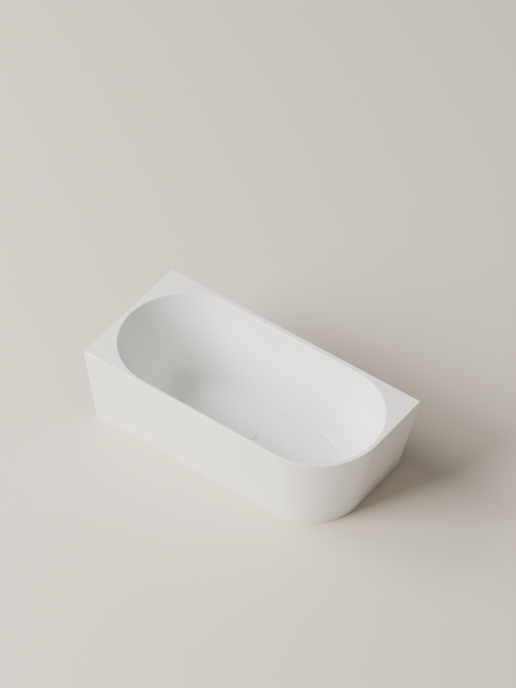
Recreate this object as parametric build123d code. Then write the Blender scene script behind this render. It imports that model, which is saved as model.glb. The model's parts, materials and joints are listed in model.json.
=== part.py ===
from build123d import *
import math
import os

# Acrylic corner bath with one rounded outer corner, built as an assembly.
# X runs to the right along the back wall, Y runs towards the back wall, Z up.
# The origin is on the floor, under the middle of the overall box.
# All sizes are in millimetres.

# Overall size, and how far the outer panel runs in between rim and floor
LENGTH = 1700.0
WIDTH = 795.0
HEIGHT = 585.0
FRONT_LEAN = 88.0
END_LEAN = 130.0
EDGE_RADIUS = 5.0

# Basin: rim widths, floor level, and the run of its walls from rim to floor
RIM_BACK = 30.0
RIM_FRONT = 20.0
RIM_END = 27.5
RIM_CORNER = 25.0
FLOOR_HEIGHT = 122.0
SIDE_RUN = 120.0
END_RUN = 260.0
SIDE_FILLET = 14.0
END_FILLET = 150.0
LIP_RADIUS = 8.0
BLEND_BANDS = 12

# Sheets and their backing
ACRYLIC = 5.0
DECK = 6.0
LAMINATE = 3.0
APRON_SHEET = 4.0
APRON_LAMINATE = 2.5
FLANGE_SHEET = 5.0
FLANGE_DROP = 46.0
LAMINATE_MARGIN = 25.0
BOARD = 18.0
BOARD_MARGIN = 17.0
BOARD_CORNER = 60.0
BOARD_CUTOUT_RADIUS = 70.0

# Battens under the rim and behind the foot of the outer panel
BATTEN = 12.0
RIM_BATTEN_HEIGHT = 30.0
RIM_BATTEN_MARGIN = 70.0
FOOT_BATTEN_HEIGHT = 40.0
FOOT_BATTEN_LIFT = 3.0

# Steel frame of square tube
TUBE = 25.0
TUBE_WALL = 2.0
REAR_RAIL_TO_WALL = 36.0
LEFT_RAIL_TO_WALL = 50.0
FRONT_POST_TO_EDGE = 137.5
POST_TO_RIM = 5.0
BAR_TO_END = 520.0
BAR_OVERHANG = 25.0
POST_PLATE = 3.0
POST_PAD = 5.0
POST_PAD_SIDE = 30.0
CAP_PLATE = 3.0
CAP_DEPTH = 12.0

# Adjustable feet
FOOT_SPACING = 370.0
SPINDLE_RADIUS = 6.0
SPINDLE_TO_BOARD = 3.0
SPINDLE_COLLAR = 17.0
SPINDLE_COLLAR_HEIGHT = 8.0
SPINDLE_CHAMFER = 1.0
THREAD_CLEARANCE = 0.05
SPINDLE_HOLE_RADIUS = 6.5
FOOT_NUT_SIZE = 18.0
FOOT_NUT_HEIGHT = 10.0
LOCK_NUT_HEIGHT = 6.0
PAD_RADIUS = 25.0
PAD_HEIGHT = 12.0
PAD_EDGE = 4.0
PAD_HUB_RADIUS = 11.0
PAD_HUB_HEIGHT = 20.0
PAD_SOLE = 5.0

# Wall brackets and screws
BRACKET_SHEET = 3.0
BRACKET_WIDTH = 40.0
BRACKET_RISE = 54.0
BRACKET_HOLE_RADIUS = 4.5
BRACKET_HOLE_RISE = 30.0
BRACKET_SCREW_SPACING = 24.0
BACK_BRACKET_SPACING = 1000.0
BACK_BRACKET_CENTRE = -60.0
LEFT_BRACKET_SPACING = 400.0
LEFT_BRACKET_CENTRE = 40.0
SCREW_RADIUS = 2.5
SCREW_HEAD_RADIUS = 5.0
SCREW_HEAD_HEIGHT = 3.0
BOARD_SCREW_BITE = 12.0
BOARD_SCREW_SPACING = 150.0
BRACKET_SCREW_LENGTH = 9.0
HOLE_CLEARANCE = 0.2

# Drain in the middle of the basin floor
RECESS_RADIUS = 39.0
RECESS_DEPTH = 5.0
RECESS_EDGE = 1.5
DRAIN_HOLE_RADIUS = 26.0
UPPER_GASKET = 1.5
LOWER_GASKET = 4.0
GASKET_BORE_RADIUS = 24.0
UPPER_GASKET_RADIUS = 33.0
FLANGE_RADIUS = 35.0
FLANGE_PLATE = 2.5
FLANGE_BORE_RADIUS = 19.0
FLANGE_TUBE_RADIUS = 23.0
FLANGE_TUBE_LENGTH = 30.0
SPIDER_HUB_RADIUS = 11.0
SPIDER_RIB = 3.0
SPIDER_DROP = 10.5
SPIDER_HEIGHT = 10.0

# Push plug
COVER_RADIUS = 36.0
COVER_PLATE = 3.2
COVER_EDGE = 1.5
COVER_GAP = 0.4
BOSS_RADIUS = 8.0
BOSS_LENGTH = 8.0
SEAL_GAP = 0.4
SEAL_HEIGHT = 4.0
STEM_RADIUS = 4.0
STEM_LENGTH = 26.0
STEM_CLEARANCE = 0.05
CARTRIDGE_RADIUS = 8.0
CARTRIDGE_LIP_RADIUS = 10.5
CARTRIDGE_LIP = 3.0
CARTRIDGE_LENGTH = 23.0
CARTRIDGE_BASE = 3.0

# Waste body under the drain
BODY_FLANGE = 4.0
BODY_FLANGE_RADIUS = 36.0
BODY_RADIUS = 27.0
BODY_HEIGHT = 42.0
BODY_SHOULDER = 9.0
TAIL_RADIUS = 20.0
TAIL_LENGTH = 16.0
DIP_TUBE_RADIUS = 17.0
DIP_TUBE_WALL = 2.0
DIP_TUBE_LIP_RADIUS = 22.5
DIP_TUBE_LIP = 1.5
DIP_TUBE_CLEARANCE = 0.05

# Drum trap, which turns under the waste body while its nut is slack
DRUM_RADIUS = 56.0
DRUM_WALL = 3.0
DRUM_EDGE = 3.0
DRUM_LIFT = 5.0
DRUM_NECK = 11.0
DRUM_NECK_RADIUS = 22.4
DRUM_LIP_RADIUS = 26.7
DRUM_LIP = 2.7
WEIR_RADIUS = 35.5
WEIR_WALL = 2.5
WEIR_TO_ROOF = 4.0
DIP_DEPTH = 9.0
RUNNING_GAP = 0.3
UNION_GASKET = 2.7
UNION_NUT_RADIUS = 32.0
UNION_NUT_LIP = 3.5
UNION_NUT_CLEARANCE = 0.05
UNION_NUT_THREAD = 8.0
UNION_NUT_GRIPS = 12
GRIP_RADIUS = 2.5

# Outlet of the trap, a plain pipe end
OUTLET_HEIGHT = 30.0
OUTLET_RADIUS = 20.0
OUTLET_WALL = 2.0
STUB_RADIUS = 19.5
OUTLET_REACH = 215.0
SOCKET_RADIUS = 24.0
SOCKET_REACH = 85.0
SOCKET_DEPTH = 23.0
OUTLET_NUT_RADIUS = 28.0
OUTLET_NUT_LENGTH = 24.0
OUTLET_NUT_LIP = 4.0
PIPE_CLEARANCE = 0.05

# Overflow in the front wall of the basin
OVERFLOW_DROP = 105.0
SLOT_LENGTH = 84.0
SLOT_WIDTH = 16.0
COLLAR_LENGTH = 62.0
TRIM_LENGTH = 100.0
TRIM_WIDTH = 28.0
TRIM_PLATE = 2.5
TRIM_EDGE = 1.0
TRIM_COLLAR_GAP = 1.0
TRIM_WALL = 1.5
TRIM_BARS = 4
TRIM_BAR_WIDTH = 2.0
OVERFLOW_GASKET = 1.5
OVERFLOW_GASKET_WIDTH = 32.0
CHANNEL_LENGTH = 100.0
CHANNEL_DEPTH = 10.0
CHANNEL_RISE = 18.0
CHANNEL_DROP = 105.0
CHANNEL_WALL = 1.5
CHANNEL_FOOT = 20.0
CHANNEL_FOOT_LENGTH = 28.0
OVERFLOW_SCREW_SPACING = 74.0
OVERFLOW_SCREW_RADIUS = 2.0
OVERFLOW_SCREW_HEAD = 3.8
OVERFLOW_SCREW_SINK = 2.0
OVERFLOW_SCREW_LENGTH = 14.5
SCREW_BOSS_RADIUS = 4.0

# Hose from the overflow to the waste body
HOSE_RADIUS = 11.0
HOSE_BORE_RADIUS = 9.05
SPIGOT_RADIUS = 9.0
SPIGOT_BORE_RADIUS = 7.0
SPIGOT_LENGTH = 26.0
HOSE_BEND_RADIUS = 60.0
HOSE_END_GAP = 3.0
PORT_DROP = 24.5
PORT_REACH = 62.0
CLAMP_WIDTH = 9.0
CLAMP_BAND = 1.2
CLAMP_CLEARANCE = 0.05
CLAMP_HOUSING = 6.0

# Small allowance that lets a cutting body pass through a face, and the
# tolerance used when edges are picked by their place
CUT = 2.0
PICK = 0.1

# Levels and places that follow from the sizes above
LEFT = -LENGTH / 2
RIGHT = LENGTH / 2
BACK = WIDTH / 2
FRONT = -WIDTH / 2
BASIN_Y = (RIM_FRONT - RIM_BACK) / 2
BASIN_HALF_LENGTH = LENGTH / 2 - RIM_END
BASIN_HALF_WIDTH = (WIDTH - RIM_BACK - RIM_FRONT) / 2
CORNER_RADIUS = BASIN_HALF_WIDTH + RIM_CORNER
DECK_UNDER = HEIGHT - DECK
SUPPORT_TOP = DECK_UNDER - LAMINATE
BOARD_TOP = FLOOR_HEIGHT - ACRYLIC - LAMINATE
BOARD_UNDER = BOARD_TOP - BOARD
FRAME_UNDER = BOARD_UNDER - TUBE
REAR_RAIL_Y = BACK - REAR_RAIL_TO_WALL
LEFT_RAIL_X = LEFT + LEFT_RAIL_TO_WALL
FRONT_POST_Y = FRONT + FRONT_POST_TO_EDGE
RIM_ARC_X = BASIN_HALF_LENGTH - BASIN_HALF_WIDTH
RIM_ARC_REACH = BASIN_HALF_WIDTH + ACRYLIC + LAMINATE + POST_TO_RIM
POST_PAD_NEAR_Y = REAR_RAIL_Y - POST_PAD_SIDE / 2 - BASIN_Y
RIGHT_POST_X = RIM_ARC_X + math.sqrt(RIM_ARC_REACH ** 2 - POST_PAD_NEAR_Y ** 2) + POST_PAD_SIDE / 2
BAR_FRONT = BASIN_Y - FOOT_SPACING / 2 - BAR_OVERHANG
BAR_PLACES = [LEFT + BAR_TO_END, RIGHT - BAR_TO_END]
BAR_FOOT_PLACES = [BASIN_Y - FOOT_SPACING / 2, BASIN_Y + FOOT_SPACING / 2]
POST_PLACES = [
    (LEFT_RAIL_X, REAR_RAIL_Y),
    (LEFT_RAIL_X, FRONT_POST_Y),
    (RIGHT_POST_X, REAR_RAIL_Y),
]
FOOT_PLACES = [(x, y) for x in BAR_PLACES for y in BAR_FOOT_PLACES] + POST_PLACES
RECESS_FLOOR = FLOOR_HEIGHT - RECESS_DEPTH
FLANGE_UNDER = RECESS_FLOOR + UPPER_GASKET
FLANGE_TOP = FLANGE_UNDER + FLANGE_PLATE
COVER_UNDER = FLANGE_TOP + COVER_GAP
SPIDER_TOP = FLANGE_UNDER - SPIDER_DROP
BODY_TOP = RECESS_FLOOR - ACRYLIC - LOWER_GASKET
BODY_UNDER = BODY_TOP - BODY_HEIGHT
SHOULDER = BODY_UNDER + BODY_SHOULDER
PORT_HEIGHT = BODY_TOP - PORT_DROP
OVERFLOW_HEIGHT = HEIGHT - OVERFLOW_DROP
DRUM_LIP_TOP = BODY_UNDER - UNION_GASKET - RUNNING_GAP
DRUM_TOP = DRUM_LIP_TOP - DRUM_NECK
APRON_BACKED = APRON_SHEET + APRON_LAMINATE
SHELL_BACKED = ACRYLIC + LAMINATE


def block(x_span, y_span, z_span):
    """Box between two places on each axis."""
    centre = [(low + high) / 2 for low, high in (x_span, y_span, z_span)]
    sides = [high - low for low, high in (x_span, y_span, z_span)]
    return Pos(*centre) * Box(*sides)


def ring(outer, inner, low, high, place=(0.0, 0.0)):
    """Upright disc or tube between two heights."""
    x, y = place
    body = Pos(x, y, (low + high) / 2) * Cylinder(outer, high - low)
    if inner > 0:
        body -= Pos(x, y, (low + high) / 2) * Cylinder(inner, high - low + CUT)
    return body


def drain_ring(outer, inner, low, high):
    """Disc or tube on the drain's axis."""
    return ring(outer, inner, low, high, (0.0, BASIN_Y))


def pipe_along_y(outer, inner, start, end, height):
    """Level pipe towards the back wall, measured from the drain's axis."""
    place = Pos(0, BASIN_Y + (start + end) / 2, height) * Rot(90, 0, 0)
    body = place * Cylinder(outer, abs(end - start))
    if inner > 0:
        body -= place * Cylinder(inner, abs(end - start) + CUT)
    return body


def hexagon_nut(across_flats, low, high, bore, place):
    """Six-sided nut with a plain bore."""
    profile = RegularPolygon(across_flats / 2, 6, major_radius=False)
    body = Pos(*place, low) * extrude(profile, high - low)
    return body - ring(bore, 0, low - CUT, high + CUT, place)


def square_tube(length):
    """Square tube along X from the origin, walls included."""
    inner_side = TUBE - 2 * TUBE_WALL
    outer = Box(length, TUBE, TUBE)
    return Pos(length / 2, 0, TUBE / 2) * (outer - Box(length + CUT, inner_side, inner_side))


# Outer form: a leaning panel with one rounded corner, square at the walls

def outline(height, inset, overrun=0.0):
    """Plan of the outer form at a height, drawn in by an inset."""
    drop = 1 - height / DECK_UNDER
    front = FRONT + FRONT_LEAN * drop + inset
    right = RIGHT - END_LEAN * drop - inset
    radius = CORNER_RADIUS - FRONT_LEAN * drop - inset
    left = LEFT - overrun
    back = BACK + overrun
    edges = [
        Line((left, back), (left, front)),
        Line((left, front), (right - radius, front)),
        CenterArc((right - radius, front + radius), radius, -90, 90),
        Line((right, front + radius), (right, back)),
        Line((right, back), (left, back)),
    ]
    return Pos(0, 0, height) * make_face(edges)


def outer_form(inset, low, high, overrun=0.0):
    """Solid inside the outer form between two heights."""
    sections = [outline(low, inset, overrun), outline(high, inset, overrun)]
    return loft(sections, ruled=True)


def panel_layer(near, far, low, high):
    """Sheet between two insets of the outer panel, open at the walls."""
    hollow = outer_form(far, low - CUT, high + CUT, CUT)
    return outer_form(near, low, high) - hollow


# Basin form: long sides and round ends, both leaning out towards the rim

def wall_size(height, rim, run, fillet_radius, offset):
    """Half size of the basin at a height, offset outwards by a thickness."""
    lean = math.atan2(run, HEIGHT - FLOOR_HEIGHT)
    foot = rim - run
    centre = foot - fillet_radius * math.tan((math.pi / 2 - lean) / 2)
    centre_height = FLOOR_HEIGHT + fillet_radius
    radius = fillet_radius + offset
    if height < centre_height - radius * math.sin(lean):
        depth = centre_height - height
        return centre + math.sqrt(max(radius ** 2 - depth ** 2, 0.0))
    return foot + (height - FLOOR_HEIGHT) * math.tan(lean) + offset / math.cos(lean)


def basin_section(height, offset):
    """Plan of the basin at a height, with each round end in two arcs."""
    half_length = wall_size(height, BASIN_HALF_LENGTH, END_RUN, END_FILLET, offset)
    radius = wall_size(height, BASIN_HALF_WIDTH, SIDE_RUN, SIDE_FILLET, offset)
    straight = half_length - radius
    edges = [
        Line((-straight, -radius), (straight, -radius)),
        CenterArc((straight, 0), radius, -90, 90),
        CenterArc((straight, 0), radius, 0, 90),
        Line((straight, radius), (-straight, radius)),
        CenterArc((-straight, 0), radius, 90, 90),
        CenterArc((-straight, 0), radius, 180, 90),
    ]
    return Pos(0, BASIN_Y, height) * make_face(edges)


def basin_form(offset, top):
    """Solid inside the basin's surface, offset outwards by a thickness."""
    lean = math.atan2(END_RUN, HEIGHT - FLOOR_HEIGHT)
    low = FLOOR_HEIGHT - offset
    turn = math.pi / 2 - lean
    radius = END_FILLET + offset
    steps = [band / BLEND_BANDS for band in range(BLEND_BANDS + 1)]
    heights = [low + radius * (1 - math.cos(turn * step)) for step in steps]
    sections = [basin_section(height, offset) for height in heights + [top]]
    return loft(sections, ruled=True)


def make_basin_shell():
    """Basin, deck and the flanges that stand against the two walls."""
    deck = extrude(outline(DECK_UNDER, 0), DECK)
    exposed = [
        edge for edge in deck.edges()
        if edge.center().Z > HEIGHT - PICK
        and edge.center().Y < BACK - CUT
        and edge.center().X > LEFT + CUT
    ]
    deck = fillet(exposed, EDGE_RADIUS)
    flange_low = DECK_UNDER - FLANGE_DROP
    back_flange = block((LEFT, RIGHT), (BACK - FLANGE_SHEET, BACK), (flange_low, DECK_UNDER))
    left_flange = block((LEFT, LEFT + FLANGE_SHEET), (FRONT, BACK), (flange_low, DECK_UNDER))
    inside = outer_form(APRON_SHEET, flange_low - CUT, DECK_UNDER)
    flanges = (back_flange + left_flange) & inside
    shell = deck + flanges + basin_form(ACRYLIC, HEIGHT - DECK / 2)
    dimple_radius = RECESS_RADIUS + ACRYLIC
    shell += drain_ring(dimple_radius, 0, RECESS_FLOOR - ACRYLIC, FLOOR_HEIGHT)
    shell -= basin_form(0, HEIGHT + CUT)
    lip = [
        edge for edge in shell.edges()
        if abs(edge.center().Z - HEIGHT) < PICK
        and abs(edge.center().X) < BASIN_HALF_LENGTH + PICK
        and abs(edge.center().Y - BASIN_Y) < BASIN_HALF_WIDTH + PICK
    ]
    shell = fillet(lip, LIP_RADIUS)
    recess = drain_ring(RECESS_RADIUS, 0, RECESS_FLOOR, FLOOR_HEIGHT + CUT)
    shell -= recess
    rim_of_recess = [
        edge for edge in shell.edges().filter_by(GeomType.CIRCLE)
        if abs(edge.radius - RECESS_RADIUS) < PICK
        and abs(edge.center().Z - FLOOR_HEIGHT) < PICK
    ]
    shell = fillet(rim_of_recess, RECESS_EDGE)
    shell -= drain_ring(DRAIN_HOLE_RADIUS, 0, 0, FLOOR_HEIGHT)
    return shell - overflow_slot()


def make_basin_laminate():
    """Glass fibre backing under the basin and the deck."""
    layer = outer_form(APRON_BACKED + CUT, SUPPORT_TOP, DECK_UNDER)
    inner_x = LEFT + FLANGE_SHEET
    inner_y = BACK - FLANGE_SHEET
    layer &= block((inner_x, RIGHT), (FRONT, inner_y), (SUPPORT_TOP, DECK_UNDER))
    laminate = layer + basin_form(SHELL_BACKED, DECK_UNDER)
    laminate -= basin_form(ACRYLIC, HEIGHT)
    hole_radius = RECESS_RADIUS + ACRYLIC + HOLE_CLEARANCE
    laminate -= drain_ring(hole_radius, 0, 0, FLOOR_HEIGHT)
    return laminate - overflow_slot()


def make_base_board():
    """Wooden board bonded under the flat of the floor."""
    half_length = wall_size(
        FLOOR_HEIGHT, BASIN_HALF_LENGTH, END_RUN, END_FILLET, 0) - BOARD_MARGIN
    half_width = wall_size(
        FLOOR_HEIGHT, BASIN_HALF_WIDTH, SIDE_RUN, SIDE_FILLET, 0) - BOARD_MARGIN
    plan = RectangleRounded(2 * half_length, 2 * half_width, BOARD_CORNER)
    board = Pos(0, BASIN_Y, BOARD_UNDER) * extrude(plan, BOARD)
    board -= drain_ring(BOARD_CUTOUT_RADIUS, 0, BOARD_UNDER - CUT, BOARD_TOP + CUT)
    for place in board_screw_places():
        radius = SCREW_RADIUS + HOLE_CLEARANCE / 2
        top = BOARD_UNDER + BOARD_SCREW_BITE + HOLE_CLEARANCE
        board -= ring(radius, 0, BOARD_UNDER - CUT, top, place)
    return board


def make_apron_shell():
    """Outer panel of the front, the round corner and the free end."""
    return panel_layer(0, APRON_SHEET, 0, DECK_UNDER)


def make_apron_laminate():
    """Glass fibre backing inside the outer panel."""
    layer = panel_layer(APRON_SHEET, APRON_BACKED, FOOT_BATTEN_LIFT, DECK_UNDER)
    span_x = (LEFT + LAMINATE_MARGIN, RIGHT)
    span_y = (FRONT, BACK - LAMINATE_MARGIN)
    return layer & block(span_x, span_y, (0, HEIGHT))


def foot_batten_layer():
    """Strip behind the foot of the outer panel, as thick as a batten."""
    top = FOOT_BATTEN_LIFT + FOOT_BATTEN_HEIGHT
    return panel_layer(APRON_BACKED, APRON_BACKED + BATTEN, FOOT_BATTEN_LIFT, top)


def corner_foot_centre():
    """Centre of the rounded corner at the floor, in plan."""
    radius = CORNER_RADIUS - FRONT_LEAN
    return RIGHT - END_LEAN - radius, FRONT + FRONT_LEAN + radius


def make_front_foot_batten():
    """Straight wooden strip behind the foot of the front."""
    corner_x, corner_y = corner_foot_centre()
    span_x = (LEFT + LAMINATE_MARGIN, corner_x)
    return foot_batten_layer() & block(span_x, (FRONT, corner_y), (0, HEIGHT))


def make_end_foot_batten():
    """Straight wooden strip behind the foot of the free end."""
    corner_x, corner_y = corner_foot_centre()
    span_y = (corner_y, BACK - LAMINATE_MARGIN)
    return foot_batten_layer() & block((corner_x, RIGHT), span_y, (0, HEIGHT))


def make_back_rim_batten():
    """Wooden strip behind the back flange."""
    face = BACK - FLANGE_SHEET
    span_x = (LEFT + RIM_BATTEN_MARGIN, RIGHT - 2 * RIM_BATTEN_MARGIN)
    span_z = (SUPPORT_TOP - RIM_BATTEN_HEIGHT, SUPPORT_TOP)
    return block(span_x, (face - BATTEN, face), span_z)


def make_left_rim_batten():
    """Wooden strip behind the left flange."""
    face = LEFT + FLANGE_SHEET
    span_y = (FRONT + RIM_BATTEN_MARGIN, BACK - RIM_BATTEN_MARGIN)
    span_z = (SUPPORT_TOP - RIM_BATTEN_HEIGHT, SUPPORT_TOP)
    return block((face, face + BATTEN), span_y, span_z)


# Frame

def board_screw_places():
    """Places of the screws that go through the cross bars into the board."""
    offsets = (-BOARD_SCREW_SPACING, 0.0, BOARD_SCREW_SPACING)
    return [(x, BASIN_Y + offset) for x in BAR_PLACES for offset in offsets]


def make_rear_rail():
    """Rail along the back, between the two back posts."""
    start = LEFT_RAIL_X + TUBE / 2
    end = RIGHT_POST_X - TUBE / 2
    rail = Pos(start, REAR_RAIL_Y, FRAME_UNDER) * square_tube(end - start)
    for place in back_bracket_screw_places():
        rail -= ring(SCREW_RADIUS + HOLE_CLEARANCE / 2, 0, BOARD_UNDER - TUBE / 2,
                     BOARD_UNDER + CUT, place)
    return rail


def make_left_rail():
    """Rail along the left wall, between its two posts."""
    start = FRONT_POST_Y + TUBE / 2
    end = REAR_RAIL_Y - TUBE / 2
    rail = Pos(LEFT_RAIL_X, start, FRAME_UNDER) * Rot(0, 0, 90) * square_tube(end - start)
    for place in left_bracket_screw_places():
        rail -= ring(SCREW_RADIUS + HOLE_CLEARANCE / 2, 0, BOARD_UNDER - TUBE / 2,
                     BOARD_UNDER + CUT, place)
    return rail


def make_cross_bar(x):
    """Bar under the board, from the front feet to the rear rail."""
    end = REAR_RAIL_Y - TUBE / 2
    bar = Pos(x, BAR_FRONT, FRAME_UNDER) * Rot(0, 0, 90) * square_tube(end - BAR_FRONT)
    for y in BAR_FOOT_PLACES:
        bar -= ring(SPINDLE_HOLE_RADIUS, 0, FRAME_UNDER - CUT, BOARD_UNDER - TUBE / 2, (x, y))
    for place in board_screw_places():
        if place[0] == x:
            bar -= ring(SCREW_RADIUS + HOLE_CLEARANCE, 0, 0, HEIGHT, place)
    return bar


def make_post(place):
    """Upright tube from a foot to the deck, with a plate in its lower end."""
    top = SUPPORT_TOP - POST_PAD
    length = top - FRAME_UNDER
    post = Pos(*place, FRAME_UNDER) * Rot(0, -90, 0) * Pos(0, 0, -TUBE / 2) * square_tube(length)
    half = TUBE / 2 - TUBE_WALL / 2
    x, y = place
    post += block((x - half, x + half), (y - half, y + half),
                  (FRAME_UNDER, FRAME_UNDER + POST_PLATE))
    return post - ring(SPINDLE_HOLE_RADIUS, 0, FRAME_UNDER - CUT,
                       FRAME_UNDER + POST_PLATE + CUT, place)


def make_post_pads():
    """Rubber pads between the posts and the deck."""
    half = POST_PAD_SIDE / 2
    pads = [
        block((x - half, x + half), (y - half, y + half), (SUPPORT_TOP - POST_PAD, SUPPORT_TOP))
        for x, y in POST_PLACES
    ]
    return Compound(children=pads)


def make_bar_end_caps():
    """Plastic plugs in the open front ends of the cross bars."""
    inner = TUBE - 2 * TUBE_WALL - HOLE_CLEARANCE
    middle = FRAME_UNDER + TUBE / 2
    caps = []
    for x in BAR_PLACES:
        plate = block((x - TUBE / 2, x + TUBE / 2), (BAR_FRONT - CAP_PLATE, BAR_FRONT),
                      (FRAME_UNDER, BOARD_UNDER))
        plug = block((x - inner / 2, x + inner / 2), (BAR_FRONT, BAR_FRONT + CAP_DEPTH),
                     (middle - inner / 2, middle + inner / 2))
        caps.append(plate + plug)
    return Compound(children=caps)


# Feet

def make_foot_nuts():
    """Nuts welded under the frame, one above each foot."""
    bore = SPINDLE_RADIUS + THREAD_CLEARANCE
    low = FRAME_UNDER - FOOT_NUT_HEIGHT
    nuts = [hexagon_nut(FOOT_NUT_SIZE, low, FRAME_UNDER, bore, place) for place in FOOT_PLACES]
    return Compound(children=nuts)


def make_foot_lock_nuts():
    """Thin nuts that lock each spindle against its welded nut."""
    bore = SPINDLE_RADIUS + THREAD_CLEARANCE
    high = FRAME_UNDER - FOOT_NUT_HEIGHT
    low = high - LOCK_NUT_HEIGHT
    nuts = [hexagon_nut(FOOT_NUT_SIZE, low, high, bore, place) for place in FOOT_PLACES]
    return Compound(children=nuts)


def make_foot_spindle(place):
    """Threaded spindle with a collar for a spanner."""
    top = BOARD_UNDER - SPINDLE_TO_BOARD
    rod = ring(SPINDLE_RADIUS, 0, PAD_SOLE, top, place)
    rod = chamfer(rod.edges().group_by(Axis.Z)[-1], SPINDLE_CHAMFER)
    collar = RegularPolygon(SPINDLE_COLLAR / 2, 6, major_radius=False)
    return rod + Pos(*place, PAD_HUB_HEIGHT) * extrude(collar, SPINDLE_COLLAR_HEIGHT)


def make_foot_pad(place):
    """Moulded pad that the spindle stands in."""
    disc = ring(PAD_RADIUS, 0, 0, PAD_HEIGHT, place)
    disc = fillet(disc.edges().group_by(Axis.Z)[-1], PAD_EDGE)
    pad = disc + ring(PAD_HUB_RADIUS, 0, 0, PAD_HUB_HEIGHT, place)
    bore = SPINDLE_RADIUS + THREAD_CLEARANCE
    return pad - ring(bore, 0, PAD_SOLE, PAD_HUB_HEIGHT + CUT, place)


# Wall brackets

def back_bracket_places():
    """Middles of the brackets on the back wall, along X."""
    half = BACK_BRACKET_SPACING / 2
    return [BACK_BRACKET_CENTRE - half, BACK_BRACKET_CENTRE + half]


def left_bracket_places():
    """Middles of the brackets on the left wall, along Y."""
    half = LEFT_BRACKET_SPACING / 2
    return [LEFT_BRACKET_CENTRE - half, LEFT_BRACKET_CENTRE + half]


def back_bracket_screw_places():
    """Screws through the brackets into the rear rail."""
    half = BRACKET_SCREW_SPACING / 2
    return [(x + side, REAR_RAIL_Y) for x in back_bracket_places() for side in (-half, half)]


def left_bracket_screw_places():
    """Screws through the brackets into the left rail."""
    half = BRACKET_SCREW_SPACING / 2
    return [(LEFT_RAIL_X, y + side) for y in left_bracket_places() for side in (-half, half)]


def bracket(reach):
    """Angle bracket at the origin: its wall face is at Y = 0, its foot at Z = 0."""
    half = BRACKET_WIDTH / 2
    foot = block((-half, half), (-reach, 0), (0, BRACKET_SHEET))
    upright = block((-half, half), (-BRACKET_SHEET, 0), (0, BRACKET_RISE))
    body = foot + upright
    hole = Pos(0, 0, BRACKET_HOLE_RISE) * Rot(90, 0, 0)
    return body - hole * Cylinder(BRACKET_HOLE_RADIUS, 4 * BRACKET_SHEET)


def make_wall_brackets():
    """Four brackets that hold the frame to the back and left walls."""
    back_reach = REAR_RAIL_TO_WALL + TUBE / 2
    left_reach = LEFT_RAIL_TO_WALL + TUBE / 2
    brackets = []
    for x in back_bracket_places():
        brackets.append(Pos(x, BACK, BOARD_UNDER) * bracket(back_reach))
    for y in left_bracket_places():
        brackets.append(Pos(LEFT, y, BOARD_UNDER) * Rot(0, 0, 90) * bracket(left_reach))
    drilled = []
    for body in brackets:
        for place in back_bracket_screw_places() + left_bracket_screw_places():
            body -= ring(SCREW_RADIUS + HOLE_CLEARANCE, 0, BOARD_UNDER - CUT,
                         BOARD_UNDER + BRACKET_SHEET + CUT, place)
        drilled.append(body)
    return Compound(children=drilled)


def screw_down(place, face, length):
    """Pan head screw whose head stands on a face and whose shank goes down."""
    head = ring(SCREW_HEAD_RADIUS, 0, face, face + SCREW_HEAD_HEIGHT, place)
    head = fillet(head.edges().group_by(Axis.Z)[-1], SCREW_HEAD_HEIGHT / 2)
    return head + ring(SCREW_RADIUS, 0, face - length, face + CUT / 2, place)


def screw_up(place, face, length):
    """Pan head screw whose head hangs under a face and whose shank goes up."""
    head = ring(SCREW_HEAD_RADIUS, 0, face - SCREW_HEAD_HEIGHT, face, place)
    head = fillet(head.edges().group_by(Axis.Z)[0], SCREW_HEAD_HEIGHT / 2)
    return head + ring(SCREW_RADIUS, 0, face - CUT / 2, face + length, place)


def make_bracket_screws():
    """Screws that hold the wall brackets on the rails."""
    face = BOARD_UNDER + BRACKET_SHEET
    places = back_bracket_screw_places() + left_bracket_screw_places()
    return Compound(children=[screw_down(p, face, BRACKET_SCREW_LENGTH) for p in places])


def make_board_screws():
    """Screws that hold the board on the cross bars."""
    length = TUBE + BOARD_SCREW_BITE
    return Compound(children=[screw_up(p, FRAME_UNDER, length) for p in board_screw_places()])


# Drain and push plug

def make_waste_flange():
    """Flange in the recess, its threaded tube and the spider in its bore."""
    plate = drain_ring(FLANGE_RADIUS, FLANGE_BORE_RADIUS, FLANGE_UNDER, FLANGE_TOP)
    tube_low = FLANGE_UNDER - FLANGE_TUBE_LENGTH
    tube = drain_ring(FLANGE_TUBE_RADIUS, FLANGE_BORE_RADIUS, tube_low, FLANGE_UNDER)
    spider_low = SPIDER_TOP - SPIDER_HEIGHT
    hub = drain_ring(SPIDER_HUB_RADIUS, 0, spider_low, SPIDER_TOP)
    reach = FLANGE_BORE_RADIUS + THREAD_CLEARANCE
    rib = Box(2 * reach, SPIDER_RIB, SPIDER_HEIGHT)
    middle = Pos(0, BASIN_Y, (spider_low + SPIDER_TOP) / 2)
    spider = hub + middle * rib + middle * Rot(0, 0, 90) * rib
    bore = CARTRIDGE_RADIUS + THREAD_CLEARANCE
    spider -= drain_ring(bore, 0, spider_low - CUT, SPIDER_TOP + CUT)
    return plate + tube + spider


def make_waste_upper_gasket():
    """Flat gasket between the flange and the recess."""
    return drain_ring(UPPER_GASKET_RADIUS, GASKET_BORE_RADIUS, RECESS_FLOOR, FLANGE_UNDER)


def make_waste_lower_gasket():
    """Thick gasket between the waste body and the underside of the recess."""
    top = BODY_TOP + LOWER_GASKET
    return drain_ring(BODY_FLANGE_RADIUS, GASKET_BORE_RADIUS, BODY_TOP, top)


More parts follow.
